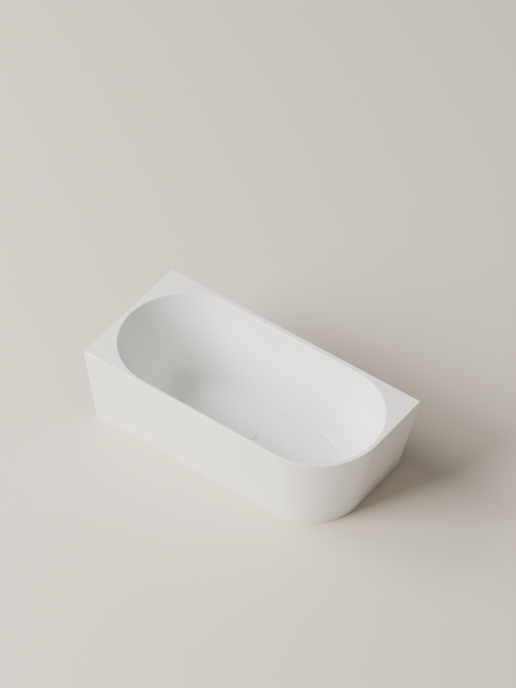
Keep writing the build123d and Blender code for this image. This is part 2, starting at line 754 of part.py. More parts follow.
def make_click_cartridge():
    """Guide in the spider that holds the plug up or down."""
    top = SPIDER_TOP + CARTRIDGE_LIP
    low = top - CARTRIDGE_LENGTH
    body = drain_ring(CARTRIDGE_RADIUS, 0, low, top)
    body += drain_ring(CARTRIDGE_LIP_RADIUS, 0, SPIDER_TOP, top)
    bore = STEM_RADIUS + STEM_CLEARANCE
    return body - drain_ring(bore, 0, low + CARTRIDGE_BASE, top + CUT)


def make_plug_cover():
    """Round white cover with the boss that takes the stem."""
    plate = drain_ring(COVER_RADIUS, 0, COVER_UNDER, COVER_UNDER + COVER_PLATE)
    plate = fillet(plate.edges().group_by(Axis.Z)[-1], COVER_EDGE)
    boss_low = COVER_UNDER - BOSS_LENGTH
    cover = plate + drain_ring(BOSS_RADIUS, 0, boss_low, COVER_UNDER)
    bore = STEM_RADIUS + STEM_CLEARANCE
    return cover - drain_ring(bore, 0, boss_low - CUT, COVER_UNDER)


def make_plug_seal():
    """Rubber ring under the cover that closes the flange's bore."""
    outer = FLANGE_BORE_RADIUS - SEAL_GAP
    inner = BOSS_RADIUS + STEM_CLEARANCE
    return drain_ring(outer, inner, COVER_UNDER - SEAL_HEIGHT, COVER_UNDER)


def make_plug_stem():
    """Brass stem that slides in the cartridge."""
    return drain_ring(STEM_RADIUS, 0, COVER_UNDER - STEM_LENGTH, COVER_UNDER)


# Waste body and trap

def make_waste_body():
    """Body under the drain, with the overflow port and the tail."""
    body = drain_ring(BODY_FLANGE_RADIUS, 0, BODY_TOP - BODY_FLANGE, BODY_TOP)
    body += drain_ring(BODY_RADIUS, 0, BODY_UNDER, BODY_TOP)
    body += drain_ring(TAIL_RADIUS, 0, BODY_UNDER - TAIL_LENGTH, BODY_UNDER)
    body += pipe_along_y(SPIGOT_RADIUS, 0, -PORT_REACH, -FLANGE_TUBE_RADIUS, PORT_HEIGHT)
    thread = FLANGE_TUBE_RADIUS + THREAD_CLEARANCE
    body -= drain_ring(thread, 0, SHOULDER, BODY_TOP + CUT)
    bore = DIP_TUBE_RADIUS + DIP_TUBE_CLEARANCE
    body -= drain_ring(bore, 0, BODY_UNDER - TAIL_LENGTH - CUT, SHOULDER + CUT)
    return body - pipe_along_y(SPIGOT_BORE_RADIUS, 0, -PORT_REACH - CUT, 0, PORT_HEIGHT)


def make_trap_dip_tube():
    """Lift-out tube that dips into the water of the trap."""
    low = DRUM_LIFT + DIP_DEPTH
    inner = DIP_TUBE_RADIUS - DIP_TUBE_WALL
    tube = drain_ring(DIP_TUBE_RADIUS, inner, low, SHOULDER)
    return tube + drain_ring(DIP_TUBE_LIP_RADIUS, inner, SHOULDER, SHOULDER + DIP_TUBE_LIP)


def make_trap_gasket():
    """Ring between the waste body and the neck of the trap."""
    inner = TAIL_RADIUS + RUNNING_GAP
    outer = BODY_RADIUS - UNION_NUT_CLEARANCE
    return drain_ring(outer, inner, BODY_UNDER - UNION_GASKET, BODY_UNDER)


def make_trap_union_nut():
    """Nut on the waste body that carries the lip of the trap's neck."""
    seat = DRUM_LIP_TOP - DRUM_LIP - RUNNING_GAP
    low = seat - UNION_NUT_LIP
    top = BODY_UNDER + UNION_NUT_THREAD
    nut = drain_ring(UNION_NUT_RADIUS, 0, low, top)
    nut -= drain_ring(BODY_RADIUS + UNION_NUT_CLEARANCE, 0, seat, top + CUT)
    nut -= drain_ring(DRUM_NECK_RADIUS + RUNNING_GAP, 0, low - CUT, seat + CUT)
    for grip in range(UNION_NUT_GRIPS):
        angle = 360 / UNION_NUT_GRIPS * grip
        notch = Pos(0, BASIN_Y, 0) * Rot(0, 0, angle) * Pos(UNION_NUT_RADIUS, 0, (low + top) / 2)
        nut -= notch * Cylinder(GRIP_RADIUS, top - low + CUT)
    return nut


def make_trap_drum():
    """Drum with a neck, an inner weir and a socket for the outlet pipe."""
    neck_bore = TAIL_RADIUS + RUNNING_GAP
    drum = drain_ring(DRUM_RADIUS, 0, DRUM_LIFT, DRUM_TOP)
    rims = drum.edges().group_by(Axis.Z)
    drum = fillet(rims[0] + rims[-1], DRUM_EDGE)
    drum += drain_ring(DRUM_NECK_RADIUS, 0, DRUM_TOP - CUT, DRUM_LIP_TOP)
    drum += drain_ring(DRUM_LIP_RADIUS, 0, DRUM_LIP_TOP - DRUM_LIP, DRUM_LIP_TOP)
    inside = DRUM_RADIUS - DRUM_WALL
    drum += pipe_along_y(SOCKET_RADIUS, 0, inside, SOCKET_REACH, OUTLET_HEIGHT)
    drum -= drain_ring(inside, 0, DRUM_LIFT + DRUM_WALL, DRUM_TOP - DRUM_WALL)
    drum -= drain_ring(neck_bore, 0, DRUM_TOP - 2 * DRUM_WALL, DRUM_LIP_TOP + CUT)
    bore = OUTLET_RADIUS - OUTLET_WALL
    drum -= pipe_along_y(bore, 0, inside - 2 * CUT, SOCKET_REACH + CUT, OUTLET_HEIGHT)
    socket_start = SOCKET_REACH - SOCKET_DEPTH
    socket_bore = STUB_RADIUS + PIPE_CLEARANCE
    drum -= pipe_along_y(socket_bore, 0, socket_start, SOCKET_REACH + CUT, OUTLET_HEIGHT)
    weir_low = DRUM_LIFT + DRUM_WALL - CUT / 2
    weir_top = DRUM_TOP - DRUM_WALL - WEIR_TO_ROOF
    return drum + drain_ring(WEIR_RADIUS, WEIR_RADIUS - WEIR_WALL, weir_low, weir_top)


def make_outlet_nut():
    """Nut that holds the outlet pipe in the socket."""
    start = SOCKET_REACH + OUTLET_NUT_LIP - OUTLET_NUT_LENGTH
    end = SOCKET_REACH + OUTLET_NUT_LIP
    nut = pipe_along_y(OUTLET_NUT_RADIUS, 0, start, end, OUTLET_HEIGHT)
    thread = SOCKET_RADIUS + PIPE_CLEARANCE
    nut -= pipe_along_y(thread, 0, start - CUT, SOCKET_REACH, OUTLET_HEIGHT)
    bore = STUB_RADIUS + PIPE_CLEARANCE
    return nut - pipe_along_y(bore, 0, start, end + CUT, OUTLET_HEIGHT)


def make_outlet_pipe():
    """Plain pipe end for the house drain, turned down where it is in the nut."""
    start = SOCKET_REACH - SOCKET_DEPTH
    shoulder = SOCKET_REACH + OUTLET_NUT_LIP
    inner = OUTLET_RADIUS - OUTLET_WALL
    stub = pipe_along_y(STUB_RADIUS, inner, start, shoulder, OUTLET_HEIGHT)
    return stub + pipe_along_y(OUTLET_RADIUS, inner, shoulder, OUTLET_REACH, OUTLET_HEIGHT)


# Overflow: its plane lies on the leaning front wall of the basin, with local
# X along the bath, local Y down the wall and local Z into the basin

def overflow_plane():
    """Plane on the basin's front wall at the overflow."""
    half = wall_size(OVERFLOW_HEIGHT, BASIN_HALF_WIDTH, SIDE_RUN, SIDE_FILLET, 0)
    lean = math.atan2(SIDE_RUN, HEIGHT - FLOOR_HEIGHT)
    normal = (0, math.cos(lean), math.sin(lean))
    return Plane((0, BASIN_Y - half, OVERFLOW_HEIGHT), x_dir=(1, 0, 0), z_dir=normal)


def on_wall(shape):
    """Shape in the overflow's local directions, put in its place."""
    return overflow_plane() * shape


def slot_block(length, width, low, high):
    """Long hole with round ends, as a solid between two depths."""
    return Pos(0, 0, low) * extrude(SlotOverall(length, width), high - low)


def overflow_screw_places():
    """Places of the two screws of the overflow, along the wall."""
    half = OVERFLOW_SCREW_SPACING / 2
    return [-half, half]


def overflow_screw_holes(radius, low, high):
    """Cutters for the two overflow screws, between two depths."""
    return [ring(radius, 0, low, high, (x, 0)) for x in overflow_screw_places()]


def overflow_slot():
    """Cutter of the slot through the basin's front wall and its backing."""
    return on_wall(slot_block(SLOT_LENGTH, SLOT_WIDTH, -SHELL_BACKED - CUT, CUT))


def make_overflow_trim():
    """White face with a barred slot and the collar through the wall."""
    plate = slot_block(TRIM_LENGTH, TRIM_WIDTH, 0, TRIM_PLATE)
    plate = fillet(plate.edges().group_by(Axis.Z)[-1], TRIM_EDGE)
    outer_width = SLOT_WIDTH - TRIM_COLLAR_GAP
    trim = plate + slot_block(COLLAR_LENGTH, outer_width, -SHELL_BACKED, 0)
    inner_length = COLLAR_LENGTH - 2 * TRIM_WALL
    inner_width = outer_width - 2 * TRIM_WALL
    opening = slot_block(inner_length, inner_width, -SHELL_BACKED - CUT, TRIM_PLATE + CUT)
    pitch = inner_length / (TRIM_BARS + 1)
    for bar in range(TRIM_BARS):
        x = pitch * (bar + 1) - inner_length / 2
        span_x = (x - TRIM_BAR_WIDTH / 2, x + TRIM_BAR_WIDTH / 2)
        opening -= block(span_x, (-SLOT_WIDTH, SLOT_WIDTH), (0, TRIM_PLATE))
    trim -= opening
    for hole in overflow_screw_holes(OVERFLOW_SCREW_RADIUS + HOLE_CLEARANCE, -CUT, CUT):
        trim -= hole
    for x in overflow_screw_places():
        trim -= Pos(x, 0, 0) * screw_sink()
    return on_wall(trim)


def screw_sink():
    """Conical head of an overflow screw, flush with the trim's face."""
    head = Cone(OVERFLOW_SCREW_RADIUS, OVERFLOW_SCREW_HEAD, OVERFLOW_SCREW_SINK)
    return Pos(0, 0, TRIM_PLATE - OVERFLOW_SCREW_SINK / 2) * head


def make_overflow_screws():
    """Countersunk screws from the trim into the rear box."""
    top = TRIM_PLATE - OVERFLOW_SCREW_SINK
    shank = ring(OVERFLOW_SCREW_RADIUS, 0, -OVERFLOW_SCREW_LENGTH, top)
    screw = screw_sink() + shank
    return Compound(children=[on_wall(Pos(x, 0, 0) * screw) for x in overflow_screw_places()])


def make_overflow_gasket():
    """Flat gasket between the basin's backing and the rear box."""
    low = -SHELL_BACKED - OVERFLOW_GASKET
    gasket = slot_block(CHANNEL_LENGTH, OVERFLOW_GASKET_WIDTH, low, -SHELL_BACKED)
    return on_wall(gasket - slot_block(SLOT_LENGTH, SLOT_WIDTH, low - CUT, CUT))


def make_overflow_channel():
    """Flat box behind the wall that leads the overflow down to a spigot."""
    near = -SHELL_BACKED - OVERFLOW_GASKET
    far = near - CHANNEL_DEPTH
    half = CHANNEL_LENGTH / 2
    foot_half = CHANNEL_FOOT_LENGTH / 2
    wall = CHANNEL_WALL
    spigot_depth = near - HOSE_RADIUS
    foot_far = spigot_depth - SPIGOT_RADIUS - wall
    foot_start = CHANNEL_DROP - CHANNEL_FOOT
    body = block((-half, half), (-CHANNEL_RISE, CHANNEL_DROP), (far, near))
    body += block((-foot_half, foot_half), (foot_start, CHANNEL_DROP), (foot_far, near))
    spigot_middle = CHANNEL_DROP + SPIGOT_LENGTH / 2
    spigot = Pos(0, spigot_middle, spigot_depth) * Rot(90, 0, 0)
    body += spigot * Cylinder(SPIGOT_RADIUS, SPIGOT_LENGTH)
    hollow = block((-half + wall, half - wall), (-CHANNEL_RISE + wall, CHANNEL_DROP - wall),
                   (far + wall, near - wall))
    hollow += block((-foot_half + wall, foot_half - wall),
                    (foot_start + wall, CHANNEL_DROP - wall), (foot_far + wall, near - wall))
    for x in overflow_screw_places():
        hollow -= Pos(x, 0, (near + far) / 2) * Cylinder(SCREW_BOSS_RADIUS, CHANNEL_DEPTH)
    body -= hollow
    body -= slot_block(COLLAR_LENGTH, SLOT_WIDTH, near - 2 * wall, near + CUT)
    bore = Pos(0, spigot_middle - wall, spigot_depth) * Rot(90, 0, 0)
    body -= bore * Cylinder(SPIGOT_BORE_RADIUS, SPIGOT_LENGTH + 4 * wall)
    radius = OVERFLOW_SCREW_RADIUS + HOLE_CLEARANCE / 2
    for hole in overflow_screw_holes(radius, far + 2 * wall, near + CUT):
        body -= hole
    return on_wall(body)


def hose_route():
    """Corner points of the hose, from the rear box to the waste body."""
    plane = overflow_plane()
    depth = -SHELL_BACKED - OVERFLOW_GASKET - HOSE_RADIUS
    start = plane.from_local_coords(Vector(0, CHANNEL_DROP + HOSE_END_GAP, depth))
    down = plane.y_dir
    fall = (start.Z - PORT_HEIGHT) / -down.Z
    corner = start + down * fall
    end = Vector(0, BASIN_Y - UNION_NUT_RADIUS - HOSE_END_GAP, PORT_HEIGHT)
    return start, corner, end


def hose_path():
    """Hose centre line: two straight runs and one bend."""
    return FilletPolyline(*hose_route(), radius=HOSE_BEND_RADIUS)


def make_overflow_hose():
    """Hose between the overflow's rear box and the waste body."""
    path = hose_path()
    section = Plane(path @ 0, z_dir=path % 0)
    outer = sweep(section * Circle(HOSE_RADIUS), path=path)
    inner = sweep(section * Circle(HOSE_BORE_RADIUS), path=path)
    return outer - inner


def clamp_at(place, direction):
    """Band clamp with a screw housing, round the hose at a place."""
    plane = Plane(place, x_dir=(1, 0, 0), z_dir=direction)
    inner = HOSE_RADIUS + CLAMP_CLEARANCE
    outer = inner + CLAMP_BAND
    band = Cylinder(outer, CLAMP_WIDTH)
    side = outer + CLAMP_HOUSING / 2 - CLAMP_BAND
    band += Pos(side, 0, 0) * Box(CLAMP_HOUSING, 2 * CLAMP_HOUSING, CLAMP_WIDTH)
    return plane * (band - Cylinder(inner, CLAMP_WIDTH + CUT))


def make_hose_clamps():
    """Clamps at the two ends of the hose."""
    start, corner, end = hose_route()
    inset = HOSE_END_GAP + CLAMP_WIDTH
    down = (corner - start).normalized()
    back = (corner - end).normalized()
    upper = clamp_at(start + down * inset, down)
    lower = clamp_at(end + back * inset, back)
    return Compound(children=[upper, lower])


def make_parts():
    """Every sub-part of the bath by name."""
    parts = {
        "basin_shell": make_basin_shell(),
        "basin_laminate": make_basin_laminate(),
        "base_board": make_base_board(),
        "apron_shell": make_apron_shell(),
        "apron_laminate": make_apron_laminate(),
        "front_foot_batten": make_front_foot_batten(),
        "end_foot_batten": make_end_foot_batten(),
        "back_rim_batten": make_back_rim_batten(),
        "left_rim_batten": make_left_rim_batten(),
        "rear_rail": make_rear_rail(),
        "left_rail": make_left_rail(),
        "cross_bar_left": make_cross_bar(BAR_PLACES[0]),
        "cross_bar_right": make_cross_bar(BAR_PLACES[1]),
        "post_back_left": make_post(POST_PLACES[0]),
        "post_front_left": make_post(POST_PLACES[1]),
        "post_back_right": make_post(POST_PLACES[2]),
        "post_pads": make_post_pads(),
        "bar_end_caps": make_bar_end_caps(),
        "foot_nuts": make_foot_nuts(),
        "foot_lock_nuts": make_foot_lock_nuts(),
        "wall_brackets": make_wall_brackets(),
        "bracket_screws": make_bracket_screws(),
        "board_screws": make_board_screws(),
        "waste_flange": make_waste_flange(),
        "waste_upper_gasket": make_waste_upper_gasket(),
        "waste_lower_gasket": make_waste_lower_gasket(),
        "click_cartridge": make_click_cartridge(),
        "plug_cover": make_plug_cover(),
        "plug_seal": make_plug_seal(),
        "plug_stem": make_plug_stem(),
        "waste_body": make_waste_body(),
        "trap_dip_tube": make_trap_dip_tube(),
        "trap_gasket": make_trap_gasket(),
        "trap_union_nut": make_trap_union_nut(),
        "trap_drum": make_trap_drum(),
        "outlet_nut": make_outlet_nut(),
        "outlet_pipe": make_outlet_pipe(),
        "overflow_trim": make_overflow_trim(),
        "overflow_screws": make_overflow_screws(),
        "overflow_gasket": make_overflow_gasket(),
        "overflow_channel": make_overflow_channel(),
        "overflow_hose": make_overflow_hose(),
        "hose_clamps": make_hose_clamps(),
    }
    for number, place in enumerate(FOOT_PLACES, start=1):
        parts[f"foot_spindle_{number}"] = make_foot_spindle(place)
        parts[f"foot_pad_{number}"] = make_foot_pad(place)
    return parts


os.makedirs("parts", exist_ok=True)
for name, shape in make_parts().items():
    export_step(shape, os.path.join("parts", f"{name}.step"))
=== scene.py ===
"""Visual model of an acrylic corner bath with one rounded outer corner.

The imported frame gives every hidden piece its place. The basin with its deck, the outer
panel, their glass fibre backing, the plug, the steel tubes, the spindles and the nuts are
modelled here as smooth meshes that stand for their nodes, and every piece gets its real
finish. Sizes in the classes are in metres, in the frame's own axes.
"""

from __future__ import annotations

import json
import logging
import math
from dataclasses import dataclass, field
from enum import Enum
from typing import Any, Callable

import bmesh
import bpy
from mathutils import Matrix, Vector


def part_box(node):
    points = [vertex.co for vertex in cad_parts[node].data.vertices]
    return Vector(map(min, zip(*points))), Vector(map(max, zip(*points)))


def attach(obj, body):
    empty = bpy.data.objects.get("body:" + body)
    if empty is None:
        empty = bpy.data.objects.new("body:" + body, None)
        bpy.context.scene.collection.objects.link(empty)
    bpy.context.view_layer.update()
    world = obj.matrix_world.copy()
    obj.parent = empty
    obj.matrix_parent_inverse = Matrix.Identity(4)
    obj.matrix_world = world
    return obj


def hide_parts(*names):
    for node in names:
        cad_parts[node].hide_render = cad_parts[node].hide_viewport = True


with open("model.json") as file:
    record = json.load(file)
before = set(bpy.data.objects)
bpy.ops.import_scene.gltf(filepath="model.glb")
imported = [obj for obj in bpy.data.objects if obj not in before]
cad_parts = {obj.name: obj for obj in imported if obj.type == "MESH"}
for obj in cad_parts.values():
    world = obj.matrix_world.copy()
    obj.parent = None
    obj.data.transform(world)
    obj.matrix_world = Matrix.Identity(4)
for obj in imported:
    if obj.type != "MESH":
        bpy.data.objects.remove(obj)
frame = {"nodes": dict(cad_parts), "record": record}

LOG = logging.getLogger("bath")
MM = 0.001
CLOSE = 1e-5

Piece = bpy.types.Object
Tree = bpy.types.NodeTree
Socket = bpy.types.NodeSocket
Triple = tuple[float, float, float]
Colour = tuple[float, float, float, float]
Test = Callable[[Vector], bool]


# Colours and material nodes

def linear(hex_colour: str) -> Colour:
    """Turns an sRGB hex colour into linear values.

    Args:
        hex_colour: six hex digits, with or without a leading hash.

    Returns:
        Linear red, green and blue, and an alpha of one.
    """
    digits = hex_colour.lstrip("#")
    parts = [int(digits[start:start + 2], 16) / 255 for start in (0, 2, 4)]
    light = [c / 12.92 if c <= 0.04045 else ((c + 0.055) / 1.055) ** 2.4 for c in parts]
    return light[0], light[1], light[2], 1.0


def add_node(tree: Tree, kind: str, settings: dict[str, Any] | None = None,
             inputs: dict[Any, Any] | None = None) -> bpy.types.Node:
    """Adds one node, sets it up and links its inputs.

    Args:
        tree: the node tree that takes the node.
        kind: the shader node's type name, without its prefix.
        settings: properties of the node, by name.
        inputs: values or output sockets for its inputs, by name or number.

    Returns:
        The new node.
    """
    node = tree.nodes.new(f"ShaderNode{kind}")
    for name, value in (settings or {}).items():
        setattr(node, name, value)
    for key, value in (inputs or {}).items():
        if isinstance(value, Socket):
            tree.links.new(value, node.inputs[key])
        else:
            node.inputs[key].default_value = value
    return node


def per_metre(size_mm: float) -> float:
    """Texture scale that makes one period as long as a size in millimetres."""
    return 1000.0 / size_mm


def clouds(tree: Tree, place: Socket, size_mm: float, detail: float,
           stretch: Triple = (1.0, 1.0, 1.0), turn: Triple = (0.0, 0.0, 0.0),
           contrast: tuple[float, float] = (0.0, 1.0)) -> Socket:
    """Cloudy pattern of a real size, turned, drawn out and sharpened if asked.

    Args:
        tree: the material's node tree.
        place: Object coordinates.
        size_mm: size of one cloud.
        detail: number of finer layers.
        stretch: how much longer the cloud is along each axis.
        turn: how the stretched pattern is turned about the axes.
        contrast: the values that become zero and one.

    Returns:
        The pattern, from zero to one.
    """
    mapped = add_node(tree, "Mapping", {"vector_type": "TEXTURE"}, {
        "Vector": place, "Rotation": turn, "Scale": stretch})
    cloud = add_node(tree, "TexNoise", inputs={
        "Vector": mapped.outputs["Vector"], "Scale": per_metre(size_mm), "Detail": detail})
    sharp = add_node(tree, "MapRange", inputs={
        "Value": cloud.outputs["Fac"], "From Min": contrast[0], "From Max": contrast[1]})
    return sharp.outputs["Result"]


@dataclass(frozen=True)
class Look:
    """Patterns of one finish, from which its material is made."""

    share: Socket
    dark: Any = None
    light: Any = None
    gloss: Socket | None = None
    relief: Socket | None = None


@dataclass(frozen=True)
class Finish:
    """One real material with its surface.

    The base class is a plain smooth surface with faint clouds. Other finishes return
    patterns of their own.
    """

    name: str
    colour: str
    roughness: float
    ior: float = 1.5
    metallic: float = 0.0
    shade: float = 0.97
    spread: float = 0.0
    gloss_from: tuple[float, float] = (0.3, 0.7)
    depth_mm: float = 0.0
    cloud_mm: float = 60.0

    @property
    def shaded(self) -> Colour:
        """Darker end of the colour."""
        red, green, blue, alpha = linear(self.colour)
        return red * self.shade, green * self.shade, blue * self.shade, alpha

    def look(self, tree: Tree, place: Socket) -> Look:
        """Faint clouds in the colour."""
        return Look(clouds(tree, place, self.cloud_mm, 3.0))

    def build(self) -> bpy.types.Material:
        """Makes the material from its patterns.

        Returns:
            The material, ready to assign.
        """
        material = bpy.data.materials.new(self.name)
        material.use_nodes = True
        tree = material.node_tree
        shader = tree.nodes["Principled BSDF"]
        light = linear(self.colour)
        shader.inputs["Base Color"].default_value = light
        shader.inputs["Roughness"].default_value = self.roughness
        shader.inputs["Metallic"].default_value = self.metallic
        if not self.metallic:
            shader.inputs["IOR"].default_value = self.ior
        look = self.look(tree, add_node(tree, "TexCoord").outputs["Object"])
        colour = add_node(tree, "Mix", {"data_type": "RGBA"}, {
            "Factor": look.share, 6: self.shaded if look.dark is None else look.dark,
            7: light if look.light is None else look.light})
        tree.links.new(colour.outputs[2], shader.inputs["Base Color"])
        if look.gloss is not None:
            rough = add_node(tree, "MapRange", inputs={
                "Value": look.gloss, "From Min": self.gloss_from[0],
                "From Max": self.gloss_from[1], "To Min": self.roughness,
                "To Max": self.roughness + self.spread})
            tree.links.new(rough.outputs["Result"], shader.inputs["Roughness"])
        if look.relief is not None:
            relief = add_node(tree, "Bump", inputs={
                "Strength": 1.0, "Distance": self.depth_mm * MM, "Height": look.relief})
            tree.links.new(relief.outputs["Normal"], shader.inputs["Normal"])
        return material


@dataclass(frozen=True)
class CastAcrylic(Finish):
    """Cast acrylic sheet, drawn over a mould by vacuum."""

    # The sheet thins unevenly as it is drawn, so its reflections sway over a hand's
    # breadth. The clouding of the gloss is what wiping leaves.
    shade: float = 0.985
    spread: float = 0.05
    depth_mm: float = 0.05
    cloud_mm: float = 35.0
    wave_mm: float = 160.0

    def look(self, tree: Tree, place: Socket) -> Look:
        """Slow waves and a faint clouding of the gloss."""
        cloud = clouds(tree, place, self.cloud_mm, 4.0)
        return Look(cloud, gloss=cloud, relief=clouds(tree, place, self.wave_mm, 1.0))


@dataclass(frozen=True)
class ChoppedLaminate(Finish):
    """Glass fibre laminate: chopped strands sprayed with resin and rolled down."""

    # Strands are cut 50 mm long. A bundle is 1 to 2 mm wide, too fine to show from
    # here, so it is drawn 3 mm wide. The roller leaves lumps as wide as its rings.
    shade: float = 0.80
    spread: float = 0.25
    depth_mm: float = 0.5
    cloud_mm: float = 30.0
    strand_length_mm: float = 50.0
    strand_width_mm: float = 3.0
    layers: int = 6
    layer_turn: float = 2.4
    fibre_colour: str = "#E9E4D2"

    def look(self, tree: Tree, place: Socket) -> Look:
        """Strands that cross in all directions over lumpy resin.

        Args:
            tree: the material's node tree.
            place: Object coordinates.

        Returns:
            The patterns.
        """
        stretch = (self.strand_length_mm / self.strand_width_mm, 1.0, 1.0)
        strands = None
        for step in range(self.layers):
            turn = (0.0, step * math.pi / self.layers, step * self.layer_turn)
            layer = clouds(tree, place, self.strand_width_mm, 1.0, stretch, turn, (0.55, 0.75))
            strands = layer if strands is None else add_node(
                tree, "Math", {"operation": "MAXIMUM"}, {0: strands, 1: layer}).outputs[0]
        lumps = clouds(tree, place, self.cloud_mm, 3.0)
        resin = add_node(tree, "Mix", {"data_type": "RGBA"}, {
            "Factor": lumps, 6: self.shaded, 7: linear(self.colour)}).outputs[2]
        height = add_node(tree, "Math", {"operation": "ADD"}, {0: strands, 1: lumps})
        return Look(strands, resin, linear(self.fibre_colour), lumps, height.outputs[0])


@dataclass(frozen=True)
class BirchPlywood(Finish):
    """Raw birch plywood: peeled veneers glued crosswise and sawn."""

    # A pair of plies is 2.8 mm thick, and the crosswise one of each pair is dark on a
    # sawn edge. The face has year rings of about 4 mm, drawn out along X.
    depth_mm: float = 0.15
    grain_width_mm: float = 4.0
    grain_length_mm: float = 220.0
    ply_pair_mm: float = 2.8
    grain_colour: str = "#A98355"
    dark_ply: str = "#7C5C38"
    light_ply: str = "#C9A97A"

    def look(self, tree: Tree, place: Socket) -> Look:
        """Grain on the level faces and plies on the edges.

        Args:
            tree: the material's node tree.
            place: Object coordinates.

        Returns:
            The patterns.
        """
        stretch = (self.grain_length_mm / self.grain_width_mm, 1.0, 1.0)
        grain = clouds(tree, place, self.grain_width_mm, 4.0, stretch, contrast=(0.35, 0.65))
        face = add_node(tree, "Mix", {"data_type": "RGBA"}, {
            "Factor": grain, 6: linear(self.grain_colour), 7: linear(self.colour)})
        height = add_node(tree, "SeparateXYZ", inputs={0: place}).outputs["Z"]
        ply = self.ply_pair_mm * MM / 2
        plies = add_node(tree, "Math", {"operation": "PINGPONG"}, {0: height, 1: ply})
        band = add_node(tree, "MapRange", inputs={
            "Value": plies.outputs[0], "From Min": 0.4 * ply, "From Max": 0.6 * ply})
        edge = add_node(tree, "Mix", {"data_type": "RGBA"}, {
            "Factor": band.outputs[0], 6: linear(self.dark_ply), 7: linear(self.light_ply)})
        normal = add_node(tree, "NewGeometry").outputs["Normal"]
        upright = add_node(tree, "SeparateXYZ", inputs={0: normal}).outputs["Z"]
        level = add_node(tree, "Math", {"operation": "ABSOLUTE"}, {0: upright})
        share = add_node(tree, "MapRange", inputs={
            "Value": level.outputs[0], "From Min": 0.6, "From Max": 0.8})
        return Look(share.outputs[0], edge.outputs[2], face.outputs[2], relief=grain)


@dataclass(frozen=True)
class PlanedSpruce(Finish):
    """Planed spruce batten."""

    # The planer leaves long pale early wood between darker year rings of about 5 mm.
    depth_mm: float = 0.1
    ring_mm: float = 5.0
    stretch: Triple = (60.0, 60.0, 1.0)
    late_wood: str = "#B98E58"

    def look(self, tree: Tree, place: Socket) -> Look:
        """Year rings that run along the level battens."""
        rings = clouds(tree, place, self.ring_mm, 3.0, self.stretch, contrast=(0.45, 0.6))
        return Look(rings, linear(self.colour), linear(self.late_wood), relief=rings)


@dataclass(frozen=True)
class Spangle(Finish):
    """Steel dipped in molten zinc."""

    # The zinc freezes in crystals of 5 to 10 mm that differ in tone and gloss.
    shade: float = 0.8
    spread: float = 0.2
    gloss_from: tuple[float, float] = (0.0, 1.0)
    crystal_mm: float = 7.0

    def look(self, tree: Tree, place: Socket) -> Look:
        """Crystals, each of one tone.

        Args:
            tree: the material's node tree.
            place: Object coordinates.

        Returns:
            The patterns.
        """
        cells = add_node(tree, "TexVoronoi", inputs={
            "Vector": place, "Scale": per_metre(self.crystal_mm)}).outputs["Color"]
        tone = add_node(tree, "SeparateColor", inputs={0: cells}).outputs[0]
        return Look(tone, gloss=tone)


@dataclass(frozen=True)
class WorkedMetal(Finish):
    """Turned, rolled or plated metal."""

    # The marks of the tool are about 0.1 mm apart, too fine to show from here, so they
    # are drawn 1.2 mm apart and very shallow.
    shade: float = 0.88
    spread: float = 0.1
    depth_mm: float = 0.004
    mark_mm: float = 1.2
    stretch: Triple = (12.0, 12.0, 1.0)

    def look(self, tree: Tree, place: Socket) -> Look:
        """Level marks of the tool."""
        marks = clouds(tree, place, self.mark_mm, 2.0, self.stretch)
        return Look(marks, gloss=marks, relief=marks)


@dataclass(frozen=True)
class GrainedMoulding(Finish):
    """Moulded plastic or rubber."""

    # The spark-eroded tool leaves a grain of 0.2 to 0.4 mm, too fine to show from
    # here, so it is drawn 1 to 2.5 mm wide.
    shade: float = 0.85
    spread: float = 0.12
    depth_mm: float = 0.05
    cloud_mm: float = 25.0
    grain_mm: float = 1.5

    def look(self, tree: Tree, place: Socket) -> Look:
        """Fine grain and a slight mottle."""
        grain = clouds(tree, place, self.grain_mm, 2.0)
        return Look(clouds(tree, place, self.cloud_mm, 3.0), gloss=grain, relief=grain)


